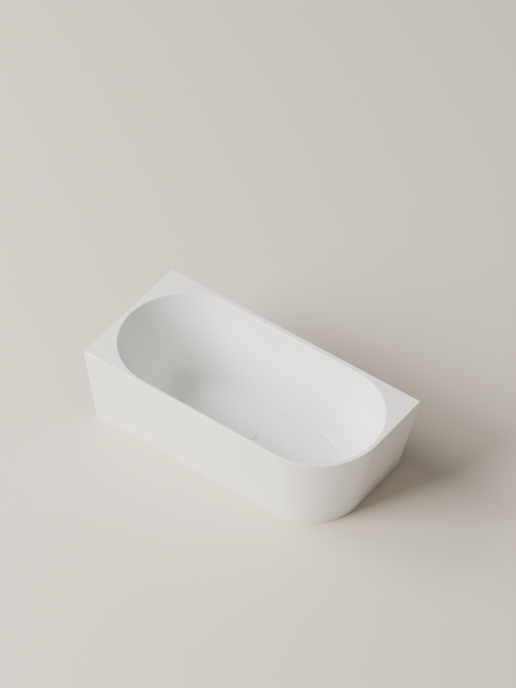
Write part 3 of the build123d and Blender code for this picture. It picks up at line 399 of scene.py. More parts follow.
class Slot(Enum):
    """Material slots of the record, each with its finish."""

    # A white sheet: the eye sees one soft highlight that bends with the form.
    WHITE_ACRYLIC = CastAcrylic("white_acrylic", "#F4F4F2", 0.12, ior=1.49)
    # Yellowish resin over pale strands: rough, with a dull shine on the lumps.
    GLASS_FIBRE = ChoppedLaminate("glass_fibre_backing", "#C9C2A4", 0.45, ior=1.55)
    # Unvarnished wood: dry and matt, striped at the edges.
    PLYWOOD = BirchPlywood("plywood", "#C8A679", 0.62)
    SOFTWOOD = PlanedSpruce("softwood", "#D8B98A", 0.6)
    # Square tube that was dipped after welding: grey with patches of shine.
    GALVANISED = Spangle("galvanised_steel", "#B4B8BA", 0.32, metallic=1.0)
    # Small parts, plated in a bath: brighter and bluer than dipped zinc.
    ZINC = WorkedMetal("zinc_plated_steel", "#C9CCCE", 0.28, metallic=1.0)
    # Cold-drawn or rolled steel: a warm grey that mirrors along its marks.
    STAINLESS = WorkedMetal("stainless_steel", "#C4C2BF", 0.25, metallic=1.0)
    # Moulded plastic coloured with soot: deep black with a broad dull highlight.
    BLACK_PP = GrainedMoulding("black_polypropylene", "#1C1C1D", 0.5)
    # Pressed and vulcanised: duller than the plastic, with no clear highlight.
    RUBBER = GrainedMoulding("black_rubber", "#171717", 0.7, ior=1.52, grain_mm=2.5)
    # Polished before plating: nearly a mirror, as its marks are polished away.
    CHROMED = WorkedMetal("chromed_brass", "#D9DBDD", 0.06, metallic=1.0, depth_mm=0.0005)
    # Turned bar, left plain: yellow with a soft shine.
    BRASS = WorkedMetal("plain_brass", "#C8A860", 0.28, metallic=1.0)
    # Lacquered cover, a shade duller than the sheet around it.
    WHITE_COVER = CastAcrylic("white_cover", "#F0F0EE", 0.16, wave_mm=40.0, depth_mm=0.01)
    # Moulded acetal: grey, waxy and even.
    ACETAL = GrainedMoulding("grey_acetal", "#76787B", 0.42, grain_mm=1.0)
    # Moulded traps and unions: milky white with a satin shine.
    WHITE_PP = GrainedMoulding("white_polypropylene", "#E4E4DF", 0.38, grain_mm=1.8)
    # Extruded hose: grey with a satin shine.
    HOSE = GrainedMoulding("grey_hose", "#8E9193", 0.45, grain_mm=2.0)


class Wardrobe:
    """Builds each finish once and puts it on pieces and carried-over nodes."""

    def __init__(self, nodes: dict[str, Piece], record: dict[str, Any]) -> None:
        """Builds all materials.

        Args:
            nodes: the frame's objects by node name.
            record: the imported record.
        """
        self.nodes = nodes
        self.slot_of = {part["node"]: part["material_slot"] for part in record["subparts"]}
        self.materials = {slot.value.name: slot.value.build() for slot in Slot}
        self.stood_for: set[str] = set()

    def wear(self, piece: Piece, slot_name: str) -> None:
        """Gives an object the finish of a slot."""
        piece.data.materials.clear()
        piece.data.materials.append(self.materials[slot_name])

    def dress_nodes(self) -> None:
        """Gives every carried-over node the finish of its slot."""
        for name, node in self.nodes.items():
            if name not in self.stood_for:
                self.wear(node, self.slot_of[name])

    def finish_piece(self, piece: Piece, body: str, *replaced: str) -> None:
        """Places a finished piece on its body, in its slot, for its nodes.

        Args:
            piece: the object, finished and at the origin.
            body: the body that carries it.
            replaced: the nodes that it stands for.
        """
        slot_name = self.slot_of[replaced[0]]
        self.wear(piece, slot_name)
        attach(piece, body)
        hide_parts(*replaced)
        self.stood_for.update(replaced)
        LOG.info("%s rides on %s and stands for %s", piece.name, body, ", ".join(replaced))


# Mesh work

def deselect_all() -> None:
    """Leaves edit mode and deselects every object."""
    if bpy.context.object and bpy.context.object.mode == "EDIT":
        bpy.ops.object.mode_set(mode="OBJECT")
    bpy.ops.object.select_all(action="DESELECT")


def activate(piece: Piece) -> None:
    """Makes one object the only selected one, and active.

    Args:
        piece: the object.
    """
    deselect_all()
    piece.select_set(True)
    bpy.context.view_layer.objects.active = piece


def enter_edit(piece: Piece) -> None:
    """Enters edit mode on one object alone, to select vertices.

    Args:
        piece: the object.
    """
    activate(piece)
    bpy.context.tool_settings.mesh_select_mode = (True, False, False)
    bpy.ops.object.mode_set(mode="EDIT")


def primitive(operator: Callable[..., Any], name: str, scale: Triple | Vector = (1.0, 1.0, 1.0),
              **settings: Any) -> Piece:
    """Adds a primitive with its place in its mesh.

    Args:
        operator: the operator that adds it.
        name: the object's name.
        scale: its scale along the axes.
        settings: the operator's settings.

    Returns:
        The new object, at the origin.
    """
    deselect_all()
    operator(**settings)
    piece = bpy.context.object
    piece.name = name
    piece.scale = scale
    bpy.ops.object.transform_apply(location=True, rotation=True, scale=True)
    return piece


def block(name: str, low: Vector, high: Vector) -> Piece:
    """Cube stretched between two corners."""
    return primitive(bpy.ops.mesh.primitive_cube_add, name, high - low, size=1.0,
                     location=(low + high) / 2)


def start_line(name: str, place: Vector) -> Piece:
    """Starts a line with one vertex, in edit mode.

    Args:
        name: the object's name.
        place: where the line starts.

    Returns:
        The object.
    """
    piece = primitive(bpy.ops.mesh.primitive_plane_add, name, size=MM, location=place)
    enter_edit(piece)
    bpy.ops.mesh.merge(type="CENTER")
    return piece


def extrude(step: Triple | Vector) -> None:
    """Extrudes what is selected by a step."""
    bpy.ops.mesh.extrude_region_move(TRANSFORM_OT_translate={"value": step})


def select_vertices(piece: Piece, test: Test, among: set[int] | None = None) -> set[int]:
    """Selects the vertices that pass a test, in edit mode.

    Args:
        piece: the object in edit mode.
        test: says whether a place is wanted.
        among: indices to look at, or None for all.

    Returns:
        The indices of the selected vertices.
    """
    mesh = bmesh.from_edit_mesh(piece.data)
    mesh.verts.ensure_lookup_table()
    chosen = set()
    for vertex in mesh.verts:
        vertex.select = (among is None or vertex.index in among) and test(vertex.co)
        if vertex.select:
            chosen.add(vertex.index)
    mesh.select_mode = {"VERT"}
    mesh.select_flush_mode()
    bmesh.update_edit_mesh(piece.data)
    return chosen


def select_members(piece: Piece, members: set[int]) -> None:
    """Selects vertices by their indices, in edit mode."""
    select_vertices(piece, lambda co: True, members)


def selected_vertices(piece: Piece) -> set[int]:
    """Finds what is selected in edit mode.

    Args:
        piece: the object in edit mode.

    Returns:
        The indices of the selected vertices.
    """
    mesh = bmesh.from_edit_mesh(piece.data)
    mesh.verts.index_update()
    return {vertex.index for vertex in mesh.verts if vertex.select}


class Part(Enum):
    """Parts of a mesh that can be selected by a test."""

    EDGE = "edges"
    FACE = "faces"


def select_parts(piece: Piece, part: Part, test: Callable[[Any], bool]) -> None:
    """Selects the edges or the faces that pass a test, in edit mode.

    Args:
        piece: the object in edit mode.
        part: what to select.
        test: says whether an edge or a face is wanted.
    """
    mesh = bmesh.from_edit_mesh(piece.data)
    bpy.context.tool_settings.mesh_select_mode = (False, part is Part.EDGE, part is Part.FACE)
    mesh.select_mode = {part.name}
    for item in getattr(mesh, part.value):
        item.select = test(item)
    mesh.select_flush_mode()
    bmesh.update_edit_mesh(piece.data)


def is_open(edge: bmesh.types.BMEdge) -> bool:
    """Says whether an edge has a face on one side only."""
    return len(edge.link_faces) == 1


def settle(piece: Piece, angle: float = math.radians(32.0)) -> Piece:
    """Merges doubles, turns faces outwards, applies the place and smooths by angle.

    Args:
        piece: the object, in object or edit mode.
        angle: the largest angle that is smoothed over.

    Returns:
        The same object.
    """
    activate(piece)
    bpy.ops.object.transform_apply(location=True, rotation=True, scale=True)
    enter_edit(piece)
    bpy.ops.mesh.select_all(action="SELECT")
    bpy.ops.mesh.remove_doubles(threshold=1e-6)
    bpy.ops.mesh.normals_make_consistent(inside=False)
    bpy.ops.object.mode_set(mode="OBJECT")
    bpy.ops.object.shade_smooth_by_angle(angle=angle)
    return piece


def apply_modifier(piece: Piece, kind: str, **settings: Any) -> None:
    """Adds a modifier with its settings and applies it.

    Args:
        piece: the object.
        kind: the modifier's type.
        settings: its properties, by name.
    """
    activate(piece)
    modifier = piece.modifiers.new(kind.lower(), kind)
    for name, value in settings.items():
        setattr(modifier, name, value)
    bpy.ops.object.modifier_apply(modifier=modifier.name)


def carve(piece: Piece, tool: Piece, operation: str) -> None:
    """Cuts a piece by a tool, which is used up.

    Args:
        piece: the object to cut.
        tool: the closed object that cuts it.
        operation: the boolean operation.
    """
    apply_modifier(piece, "BOOLEAN", operation=operation, solver="EXACT", object=tool)
    bpy.data.objects.remove(tool)


def weigh_normals(piece: Piece) -> None:
    """Keeps large flat faces flat in the shading beside their fillets."""
    apply_modifier(piece, "WEIGHTED_NORMAL", weight=60, keep_sharp=True)


def join(pieces: list[Piece], name: str) -> Piece:
    """Joins objects into one.

    Args:
        pieces: the objects, the first of which stays.
        name: the name of the joined object.

    Returns:
        The joined object.
    """
    deselect_all()
    for piece in pieces:
        piece.select_set(True)
    bpy.context.view_layer.objects.active = pieces[0]
    bpy.ops.object.join()
    pieces[0].name = name
    return pieces[0]


def copy_of(piece: Piece, name: str, shift: Vector) -> Piece:
    """Copies a piece with its mesh and shifts the copy in its mesh.

    Args:
        piece: the object to copy.
        name: the copy's name.
        shift: how far the copy stands from the original.

    Returns:
        The copy, at the origin.
    """
    activate(piece)
    bpy.ops.object.duplicate(linked=False)
    copied = bpy.context.view_layer.objects.active
    copied.name = name
    copied.location = shift
    bpy.ops.object.transform_apply(location=True, rotation=False, scale=False)
    return copied


def lathe(name: str, profile: list[tuple[float, float]], axis: Vector, steps: int) -> Piece:
    """Turned piece: a profile in radius and height, spun about an upright axis.

    Args:
        name: the object's name.
        profile: radius and height of each point, from one end to the other.
        axis: a point on the axis.
        steps: number of faces around.

    Returns:
        The finished object.
    """
    points = [Vector((radius, 0.0, height)) for radius, height in profile]
    piece = start_line(name, axis + points[0])
    for before, after in zip(points, points[1:]):
        extrude(after - before)
    bpy.ops.mesh.select_all(action="SELECT")
    bpy.ops.mesh.spin(steps=steps, angle=math.tau, center=axis, axis=(0.0, 0.0, 1.0),
                      use_auto_merge=True)
    return settle(piece)


def round_edge(radius: float, angles: tuple[float, ...]) -> list[tuple[float, float]]:
    """Points along a rounded edge.

    Args:
        radius: its radius.
        angles: where the points are, from 90 degrees at its top to zero at its side.

    Returns:
        How far each point is in from the side and down from the top.
    """
    turns = [math.radians(angle) for angle in angles]
    return [(radius * (1 - math.cos(turn)), radius * (1 - math.sin(turn))) for turn in turns]


# The basin: a long round-ended form that leans out towards its rim

@dataclass(frozen=True)
class Ring:
    """One round-ended ring of the basin."""

    height: float
    half_length: float
    half_width: float

    @property
    def straight(self) -> float:
        """Half length of the straight sides."""
        return self.half_length - self.half_width


@dataclass(frozen=True)
class Wall:
    """Profile of one wall of the basin: a fillet at the floor, then a slope."""

    rim: float
    run: float
    fillet: float
    top: float
    floor: float
    lip: float

    @property
    def lean(self) -> float:
        """Angle between the wall and the upright."""
        return math.atan2(self.run, self.top - self.floor)

    def reach(self, height: float, offset: float) -> float:
        """Half size of the basin at a height.

        Args:
            height: the height above the ground.
            offset: how far outside the inner surface.

        Returns:
            The half size there.
        """
        foot = self.rim - self.run
        centre = foot - self.fillet * math.tan((math.pi / 2 - self.lean) / 2)
        radius = self.fillet + offset
        if height < self.floor + self.fillet - radius * math.sin(self.lean):
            depth = self.floor + self.fillet - height
            return centre + math.sqrt(max(radius ** 2 - depth ** 2, 0.0))
        slope = foot + (height - self.floor) * math.tan(self.lean)
        return slope + offset / math.cos(self.lean)

    def lip_reach(self, height: float) -> float:
        """Half size of the inner surface with its rounded lip.

        Args:
            height: the height above the ground.

        Returns:
            The half size there.
        """
        low = self.top - self.lip
        centre = self.reach(low, 0.0) + self.lip / math.cos(self.lean)
        if height <= low + self.lip * math.sin(self.lean):
            return self.reach(height, 0.0)
        return centre - math.sqrt(max(self.lip ** 2 - (height - low) ** 2, 0.0))


class RingStack:
    """Skin that grows from ring to ring in edit mode."""

    def __init__(self, name: str, first: Ring, centre_y: float, count: int) -> None:
        """Adds the first ring.

        Args:
            name: the object's name.
            first: the first ring.
            centre_y: middle of the rings along Y.
            count: vertices of each ring.
        """
        half_step = math.pi / count
        self.piece = primitive(
            bpy.ops.mesh.primitive_circle_add, name, vertices=count,
            radius=first.half_width / math.cos(half_step),
            location=(0.0, centre_y, first.height), rotation=(0.0, 0.0, half_step))
        enter_edit(self.piece)
        self.centre_y = centre_y
        self.ring = first
        self.members = select_vertices(self.piece, lambda co: True)
        for side, members in self._halves().items():
            select_members(self.piece, members)
            bpy.ops.transform.translate(value=(side * first.straight, 0.0, 0.0))

    def _halves(self) -> dict[int, set[int]]:
        """Vertices of the ring's left and right end, by their side."""
        return {side: select_vertices(self.piece, lambda co, s=side: co.x * s > 0, self.members)
                for side in (-1, 1)}

    def grow(self, new: Ring) -> None:
        """Extrudes the last ring to a new one.

        Args:
            new: the new ring.
        """
        select_members(self.piece, self.members)
        extrude((0.0, 0.0, new.height - self.ring.height))
        self.members = selected_vertices(self.piece)
        scale = new.half_width / self.ring.half_width
        for side, members in self._halves().items():
            select_members(self.piece, members)
            bpy.ops.transform.resize(
                value=(scale, scale, 1.0),
                center_override=(side * self.ring.straight, self.centre_y, new.height))
            shift = side * (new.straight - self.ring.straight)
            bpy.ops.transform.translate(value=(shift, 0.0, 0.0))
        self.ring = new


@dataclass(frozen=True)
class Outline:
    """Plan of the outer form: square at the walls, with one rounded corner."""

    left: float
    right: float
    front: float
    back: float
    radius: float

    @property
    def arc_centre(self) -> Vector:
        """Centre of the rounded corner."""
        return Vector((self.right - self.radius, self.front + self.radius, 0.0))

    def off_walls(self, gap: float) -> Outline:
        """Same outline, held off the two walls."""
        return Outline(self.left + gap, self.right, self.front, self.back - gap, self.radius)


class OutlineStack:
    """Skin that grows from outline to outline in edit mode."""

    def __init__(self, name: str, first: Outline, height: float, segments: int) -> None:
        """Adds the first outline as a bevelled plane, without its face.

        Args:
            name: the object's name.
            first: the first outline.
            height: its height.
            segments: number of edges on the rounded corner.
        """
        self.piece = primitive(
            bpy.ops.mesh.primitive_plane_add, name,
            (first.right - first.left, first.back - first.front, 1.0), size=1.0,
            location=((first.right + first.left) / 2, (first.back + first.front) / 2, height))
        enter_edit(self.piece)
        select_vertices(self.piece, lambda co: co.x > 0 > co.y)
        bpy.ops.mesh.bevel(offset=first.radius, offset_type="OFFSET", segments=segments,
                           profile=0.5, affect="VERTICES")
        bpy.ops.mesh.select_all(action="SELECT")
        bpy.ops.mesh.delete(type="ONLY_FACE")
        self.outline = first
        self.height = height
        self.members = select_vertices(self.piece, lambda co: True)

    def grow(self, new: Outline, height: float) -> None:
        """Extrudes the last outline to a new one and moves its corner and ends.

        Args:
            new: the new outline.
            height: its height.
        """
        old, centre = self.outline, self.outline.arc_centre
        select_members(self.piece, self.members)
        extrude((0.0, 0.0, height - self.height))
        self.members = selected_vertices(self.piece)
        on_arc = select_vertices(
            self.piece, lambda co: co.x > centre.x - CLOSE and co.y < centre.y + CLOSE,
            self.members)
        front_left = select_vertices(
            self.piece, lambda co: co.x < centre.x - CLOSE and co.y < 0, self.members)
        back_right = select_vertices(
            self.piece, lambda co: co.y > centre.y + CLOSE and co.x > 0, self.members)
        scale = new.radius / old.radius
        select_members(self.piece, on_arc)
        bpy.ops.transform.resize(value=(scale, scale, 1.0),
                                 center_override=(centre.x, centre.y, height))
        bpy.ops.transform.translate(value=new.arc_centre - centre)
        select_members(self.piece, front_left)
        bpy.ops.transform.translate(value=(0.0, new.front - old.front, 0.0))
        select_members(self.piece, back_right)
        bpy.ops.transform.translate(value=(new.right - old.right, 0.0, 0.0))
        self.outline = new
        self.height = height


class WallSide(Enum):
    """The two walls that the bath stands against."""

    BACK = "back"
    LEFT = "left"


@dataclass
class BathBody:
    """Basin, deck, outer panel and their backing."""

    length: float = 1.700
    width: float = 0.795
    height: float = 0.585
    front_lean: float = 0.088
    end_lean: float = 0.130
    rim_back: float = 0.030
    rim_front: float = 0.020
    rim_end: float = 0.0275
    rim_corner: float = 0.025
    floor: float = 0.122
    lip: float = 0.008
    side_run: float = 0.120
    side_fillet: float = 0.014
    end_run: float = 0.260
    end_fillet: float = 0.150
    slope_levels: tuple[float, ...] = (0.45, 0.34)
    under_lip: float = 0.56
    lip_angles: tuple[float, ...] = (90, 80, 70, 60, 50, 40, 33, 29.3, 24, 19, 14.5)
    acrylic: float = 0.005
    deck: float = 0.006
    laminate: float = 0.003
    panel: float = 0.004
    panel_backing: float = 0.0025
    backing_gap: float = 0.002
    lining_low: float = 0.003
    lining_margin: float = 0.025
    edge_radius: float = 0.005
    edge_angles: tuple[float, ...] = (90, 75, 60, 45, 30, 15, 0)
    flange: float = 0.005
    flange_drop: float = 0.046
    flange_edge: float = 0.0008
    recess_radius: float = 0.039
    recess_depth: float = 0.005
    recess_edge: float = 0.0015
    recess_angles: tuple[float, ...] = (90, 60, 30, 0)
    recess_gap: float = 0.0002
    drain_hole: float = 0.026
    slot_drop: float = 0.105
    slot_length: float = 0.084
    slot_width: float = 0.016
    slot_cutter: float = 0.04
    ring_count: int = 176
    corner_segments: int = 56
    blend_steps: int = 26
    side: Wall = field(init=False)
    end: Wall = field(init=False)

    def __post_init__(self) -> None:
        """Works out the two wall profiles."""
        half_width = (self.width - self.rim_back - self.rim_front) / 2
        half_length = self.length / 2 - self.rim_end
        shared = {"top": self.height, "floor": self.floor, "lip": self.lip}
        self.side = Wall(half_width, self.side_run, self.side_fillet, **shared)
        self.end = Wall(half_length, self.end_run, self.end_fillet, **shared)

    @property
    def basin_y(self) -> float:
        """Middle of the basin along Y."""
        return (self.rim_front - self.rim_back) / 2

    @property
    def deck_under(self) -> float:
        """Height of the deck's underside."""
        return self.height - self.deck

    def outline_at(self, height: float, inset: float) -> Outline:
        """Plan of the outer form at a height.

        Args:
            height: the height above the ground.
            inset: how far the front, the corner and the free end are drawn in.

        Returns:
            The outline there.
        """
        drop = max(1.0 - height / self.deck_under, 0.0)
        corner = self.side.rim + self.rim_corner
        return Outline(
            left=-self.length / 2, right=self.length / 2 - self.end_lean * drop - inset,
            front=-self.width / 2 + self.front_lean * drop + inset, back=self.width / 2,
            radius=corner - self.front_lean * drop - inset)

    def ring_at(self, height: float, offset: float) -> Ring:
        """Ring of a surface that lies a given way outside the basin's inner one."""
        return Ring(height, self.end.reach(height, offset), self.side.reach(height, offset))

    def circle(self, radius: float, height: float) -> Ring:
        """Round ring on the drain's axis."""
        return Ring(height, radius, radius)

    def rising_rings(self, offset: float, top: float) -> list[Ring]:
        """Rings of an outer surface, from the flat of the floor up to a flat above.

        Args:
            offset: how far outside the inner surface.
            top: height of the flat above.

        Returns:
            The rings, from the lowest.
        """
        radius = self.end_fillet + offset
        turn = (math.pi / 2 - self.end.lean) / self.blend_steps
        heights = [self.floor - offset + radius * (1 - math.cos(turn * step))
                   for step in range(self.blend_steps + 1)]
        heights += [*reversed(self.slope_levels), top]
        return [self.ring_at(height, offset) for height in heights]

    def inner_rings(self) -> list[Ring]:
        """Rings of the inner surface, from the deck down to the drain's hole.

        Returns:
            The rings, from the highest.
        """
        low = self.height - self.lip
        heights = [low + self.lip * math.sin(math.radians(angle)) for angle in self.lip_angles]
        rings = [Ring(height, self.end.lip_reach(height), self.side.lip_reach(height))
                 for height in heights]
        rings += reversed(self.rising_rings(0.0, self.under_lip))
        rings += [self.circle(self.recess_radius + inset, self.floor - drop)
                  for inset, drop in round_edge(self.recess_edge, self.recess_angles)]
        recess = self.floor - self.recess_depth
        return rings + [self.circle(self.recess_radius, recess),
                        self.circle(self.drain_hole, recess)]

    def _sheet(self, name: str, rings: list[Ring],
               edge: list[tuple[float, Outline]]) -> Piece:
        """Closed sheet: the basin's rings, joined by two flats to an outer edge.

        Args:
            name: the object's name.
            rings: from the upper flat, through the drain's hole, to the lower flat.
            edge: height and outline of each step of the edge, from the upper flat.

        Returns:
            The finished object.
        """
        basin = RingStack(f"{name}_basin", rings[0], self.basin_y, self.ring_count)
        for ring in rings[1:]:
            basin.grow(ring)
        rim = OutlineStack(f"{name}_edge", edge[0][1], edge[0][0], self.corner_segments)
        for height, plan in edge[1:]:
            rim.grow(plan, height)
        piece = join([basin.piece, rim.piece], name)
        for flat in (edge[0][0], edge[-1][0]):
            enter_edit(piece)
            select_parts(piece, Part.EDGE, lambda line, z=flat: is_open(line) and all(
                abs(vertex.co.z - z) < CLOSE for vertex in line.verts))
            bpy.ops.mesh.fill(use_beauty=True)
        return settle(piece)

    def shell(self) -> Piece:
        """Basin and deck as one closed sheet.

        Returns:
            The finished object.
        """
        outer_low = self.floor - self.acrylic
        dimple = self.recess_radius + self.acrylic
        under = outer_low - self.recess_depth
        rings = self.inner_rings()
        rings += [self.circle(self.drain_hole, under), self.circle(dimple, under),
                  self.circle(dimple, outer_low)]
        rings += self.rising_rings(self.acrylic, self.deck_under)
        steps = [(self.height - drop, inset)
                 for inset, drop in round_edge(self.edge_radius, self.edge_angles)]
        steps.append((self.deck_under, 0.0))
        edge = [(height, self.outline_at(max(height, self.deck_under), inset))
                for height, inset in steps]
        return self._sheet("basin_shell_skin", rings, edge)

    def backing(self) -> Piece:
        """Glass fibre backing under the basin and the deck.

        Returns:
            The finished object.
        """
        near, far = self.acrylic, self.acrylic + self.laminate
        under = self.deck_under - self.laminate
        hole = self.recess_radius + self.acrylic + self.recess_gap
        rings = list(reversed(self.rising_rings(near, self.deck_under)))
        rings += [self.circle(hole, self.floor - near), self.circle(hole, self.floor - far)]
        rings += self.rising_rings(far, under)
        margin = self.panel + self.panel_backing + self.backing_gap
        edge = [(height, self.outline_at(height, margin).off_walls(self.flange))
                for height in (self.deck_under, under)]
        return self._sheet("basin_backing_skin", rings, edge)

    def _flange(self, wall: WallSide) -> Piece:
        """Down-turned flange at one wall, cut to the slant of the outer panel.

        Args:
            wall: the wall that it stands against.

        Returns:
            The finished object.
        """
        low = self.deck_under - self.flange_drop
        top = self.outline_at(self.deck_under, self.panel)
        foot = self.outline_at(low, self.panel)
        inner_y = top.back - self.flange
        if wall is WallSide.BACK:
            near = Vector((top.left, inner_y, low))
            far = Vector((top.right, top.back, self.deck_under))
            shift = Vector((foot.right - top.right, 0.0, 0.0))
        else:
            near = Vector((top.left, top.front, low))
            far = Vector((top.left + self.flange, inner_y, self.deck_under))
            shift = Vector((0.0, foot.front - top.front, 0.0))
        piece = block(f"flange_{wall.value}", near, far)
        enter_edit(piece)
        select_vertices(piece, lambda co: co.z < low + CLOSE and co.dot(shift) < 0)
        bpy.ops.transform.translate(value=shift)
        apply_modifier(piece, "BEVEL", width=self.flange_edge, segments=2, limit_method="ANGLE")
        return settle(piece)

    def outer_panel(self, name: str, near: float, far: float, low: float,
                    margin: float) -> Piece:
        """Sheet of the front, the rounded corner and the free end.

        Args:
            name: the object's name.
            near: inset of its outer surface.
            far: inset of its inner surface.
            low: height of its lower edge.
            margin: how far its two ends stay off the walls.

        Returns:
            The finished object.
        """
        skins = []
        for side, inset in (("outer", near), ("inner", far)):
            plan = self.outline_at(self.deck_under, inset)
            stack = OutlineStack(f"{name}_{side}", plan, self.deck_under, self.corner_segments)
            stack.grow(self.outline_at(low, inset), low)
            select_vertices(stack.piece, lambda co, p=plan: co.x < p.left + CLOSE
                            and co.y > p.back - CLOSE)
            bpy.ops.mesh.delete(type="VERT")
            skins.append(stack.piece)
        piece = join(skins, name)
        enter_edit(piece)
        select_parts(piece, Part.EDGE, is_open)
        bpy.ops.mesh.bridge_edge_loops()
        settle(piece)
        enter_edit(piece)
        select_vertices(piece, lambda co: co.x < CLOSE - self.length / 2)
        bpy.ops.transform.translate(value=(margin, 0.0, 0.0))
        select_vertices(piece, lambda co: co.y > self.width / 2 - CLOSE)
        bpy.ops.transform.translate(value=(0.0, -margin, 0.0))
        return piece

    def cut_slot(self, piece: Piece) -> None:
        """Cuts the overflow's slot through the front wall.

        Args:
            piece: the sheet to cut.
        """
        height = self.height - self.slot_drop
        place = (0.0, self.basin_y - self.side.reach(height, 0.0), height)
        cutter = primitive(
            bpy.ops.mesh.primitive_cylinder_add, "slot_cutter", vertices=48,
            radius=self.slot_width / 2, depth=self.slot_cutter, location=place,
            rotation=(self.side.lean - math.pi / 2, 0.0, 0.0))
        enter_edit(cutter)
        for side in (-1, 1):
            select_vertices(cutter, lambda co, s=side: co.x * s > 1e-6)
            shift = side * (self.slot_length - self.slot_width) / 2
            bpy.ops.transform.translate(value=(shift, 0.0, 0.0))
        carve(piece, cutter, "DIFFERENCE")
        settle(piece)

    def build(self, wardrobe: Wardrobe) -> None:
        """Builds the body's pieces and dresses them.

        Args:
            wardrobe: gives the finishes.
        """
        shell, backing = self.shell(), self.backing()
        for piece in (shell, backing):
            self.cut_slot(piece)
        shell = join([shell, *map(self._flange, WallSide)], "basin_and_deck_skin")
        panel = self.outer_panel("outer_panel_skin", 0.0, self.panel, 0.0, 0.0)
        lining = self.outer_panel("outer_panel_backing_skin", self.panel,
                                  self.panel + self.panel_backing, self.lining_low,
                                  self.lining_margin)
        for piece, node in ((shell, "basin_shell"), (backing, "basin_laminate"),
                            (panel, "apron_shell"), (lining, "apron_laminate")):
            weigh_normals(piece)
            wardrobe.finish_piece(piece, "bath", node)


@dataclass
class Plug:
    """White push cover in the drain."""

    radius: float = 0.036
    edge: float = 0.0015
    edge_angles: tuple[float, ...] = (70, 50, 30, 10, 0)
    dome: float = 0.0006
    dome_shares: tuple[float, ...] = (0.0, 0.25, 0.5, 0.75, 0.9, 1.0)
    thickness: float = 0.0032
    boss_radius: float = 0.008
    bore_radius: float = 0.00405
    steps: int = 96

    def cover(self) -> Piece:
        """Cover with a rounded edge, a faint dome and its boss.

        Returns:
            The finished object.
        """
        low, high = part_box("plug_cover")
        under = high.z - self.thickness
        profile = [(share * (self.radius - self.edge), high.z - self.dome * share ** 2)
                   for share in self.dome_shares]
        profile += [(self.radius - inset, high.z - self.dome - drop)
                    for inset, drop in round_edge(self.edge, self.edge_angles)]
        profile += [(self.radius, under), (self.boss_radius, under), (self.boss_radius, low.z),
                    (self.bore_radius, low.z), (self.bore_radius, under), (0.0, under)]
        axis = Vector((0.0, (low.y + high.y) / 2, 0.0))
        return lathe("plug_cover_skin", profile, axis, self.steps)

    def build(self, wardrobe: Wardrobe) -> None:
        """Builds the cover and dresses it."""
        wardrobe.finish_piece(self.cover(), "plug", "plug_cover")


@dataclass
class Underframe:
    """Square steel tubes, open inside, the level ones with rounded long edges."""

    wall: float = 0.002
    corner: float = 0.0028
    post_corner: float = 0.0
    corner_segments: int = 4
    plate: float = 0.003
    level_tubes: tuple[str, ...] = ("rear_rail", "left_rail", "cross_bar_left",
                                    "cross_bar_right")
    posts: tuple[str, ...] = ("post_back_left", "post_front_left", "post_back_right")

    def tube(self, node: str, corner: float) -> Piece:
        """Hollow tube in the place of a node, along its longest side.

        Args:
            node: the node that gives place and length.
            corner: radius of its long edges, or zero for sharp ones.

        Returns:
            The finished object.
        """
        low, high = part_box(node)
        size = high - low
        along = max(range(3), key=lambda axis: size[axis])
        piece = block(f"{node}_tube", low, high)
        enter_edit(piece)
        select_parts(piece, Part.FACE, lambda face: abs(face.normal[along]) > 0.5)
        bpy.ops.mesh.delete(type="ONLY_FACE")
        if corner:
            select_parts(piece, Part.EDGE, lambda edge: abs(
                (edge.verts[1].co - edge.verts[0].co)[along]) > size[along] / 2)
            bpy.ops.mesh.bevel(offset=corner, segments=self.corner_segments, affect="EDGES")
        apply_modifier(piece, "SOLIDIFY", thickness=self.wall, offset=-1.0,
                       use_even_offset=True)
        return settle(piece)

    def foot_plate(self, node: str) -> Piece:
        """Plate in the lower end of a post.

        Args:
            node: the post's node.

        Returns:
            The finished object.
        """
        low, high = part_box(node)
        inset = self.wall / 2
        top = Vector((high.x - inset, high.y - inset, low.z + self.plate))
        return settle(block("foot_plate", low + Vector((inset, inset, 0.0)), top))

    def build(self, wardrobe: Wardrobe) -> None:
        """Builds the rails, bars and posts.

        Args:
            wardrobe: gives the finishes.
        """
        pieces = {node: self.tube(node, self.corner) for node in self.level_tubes}
        for node in self.posts:
            post = self.tube(node, self.post_corner)
            pieces[node] = join([post, self.foot_plate(node)], post.name)
        for node, piece in pieces.items():
            weigh_normals(piece)
            wardrobe.finish_piece(piece, "bath", node)


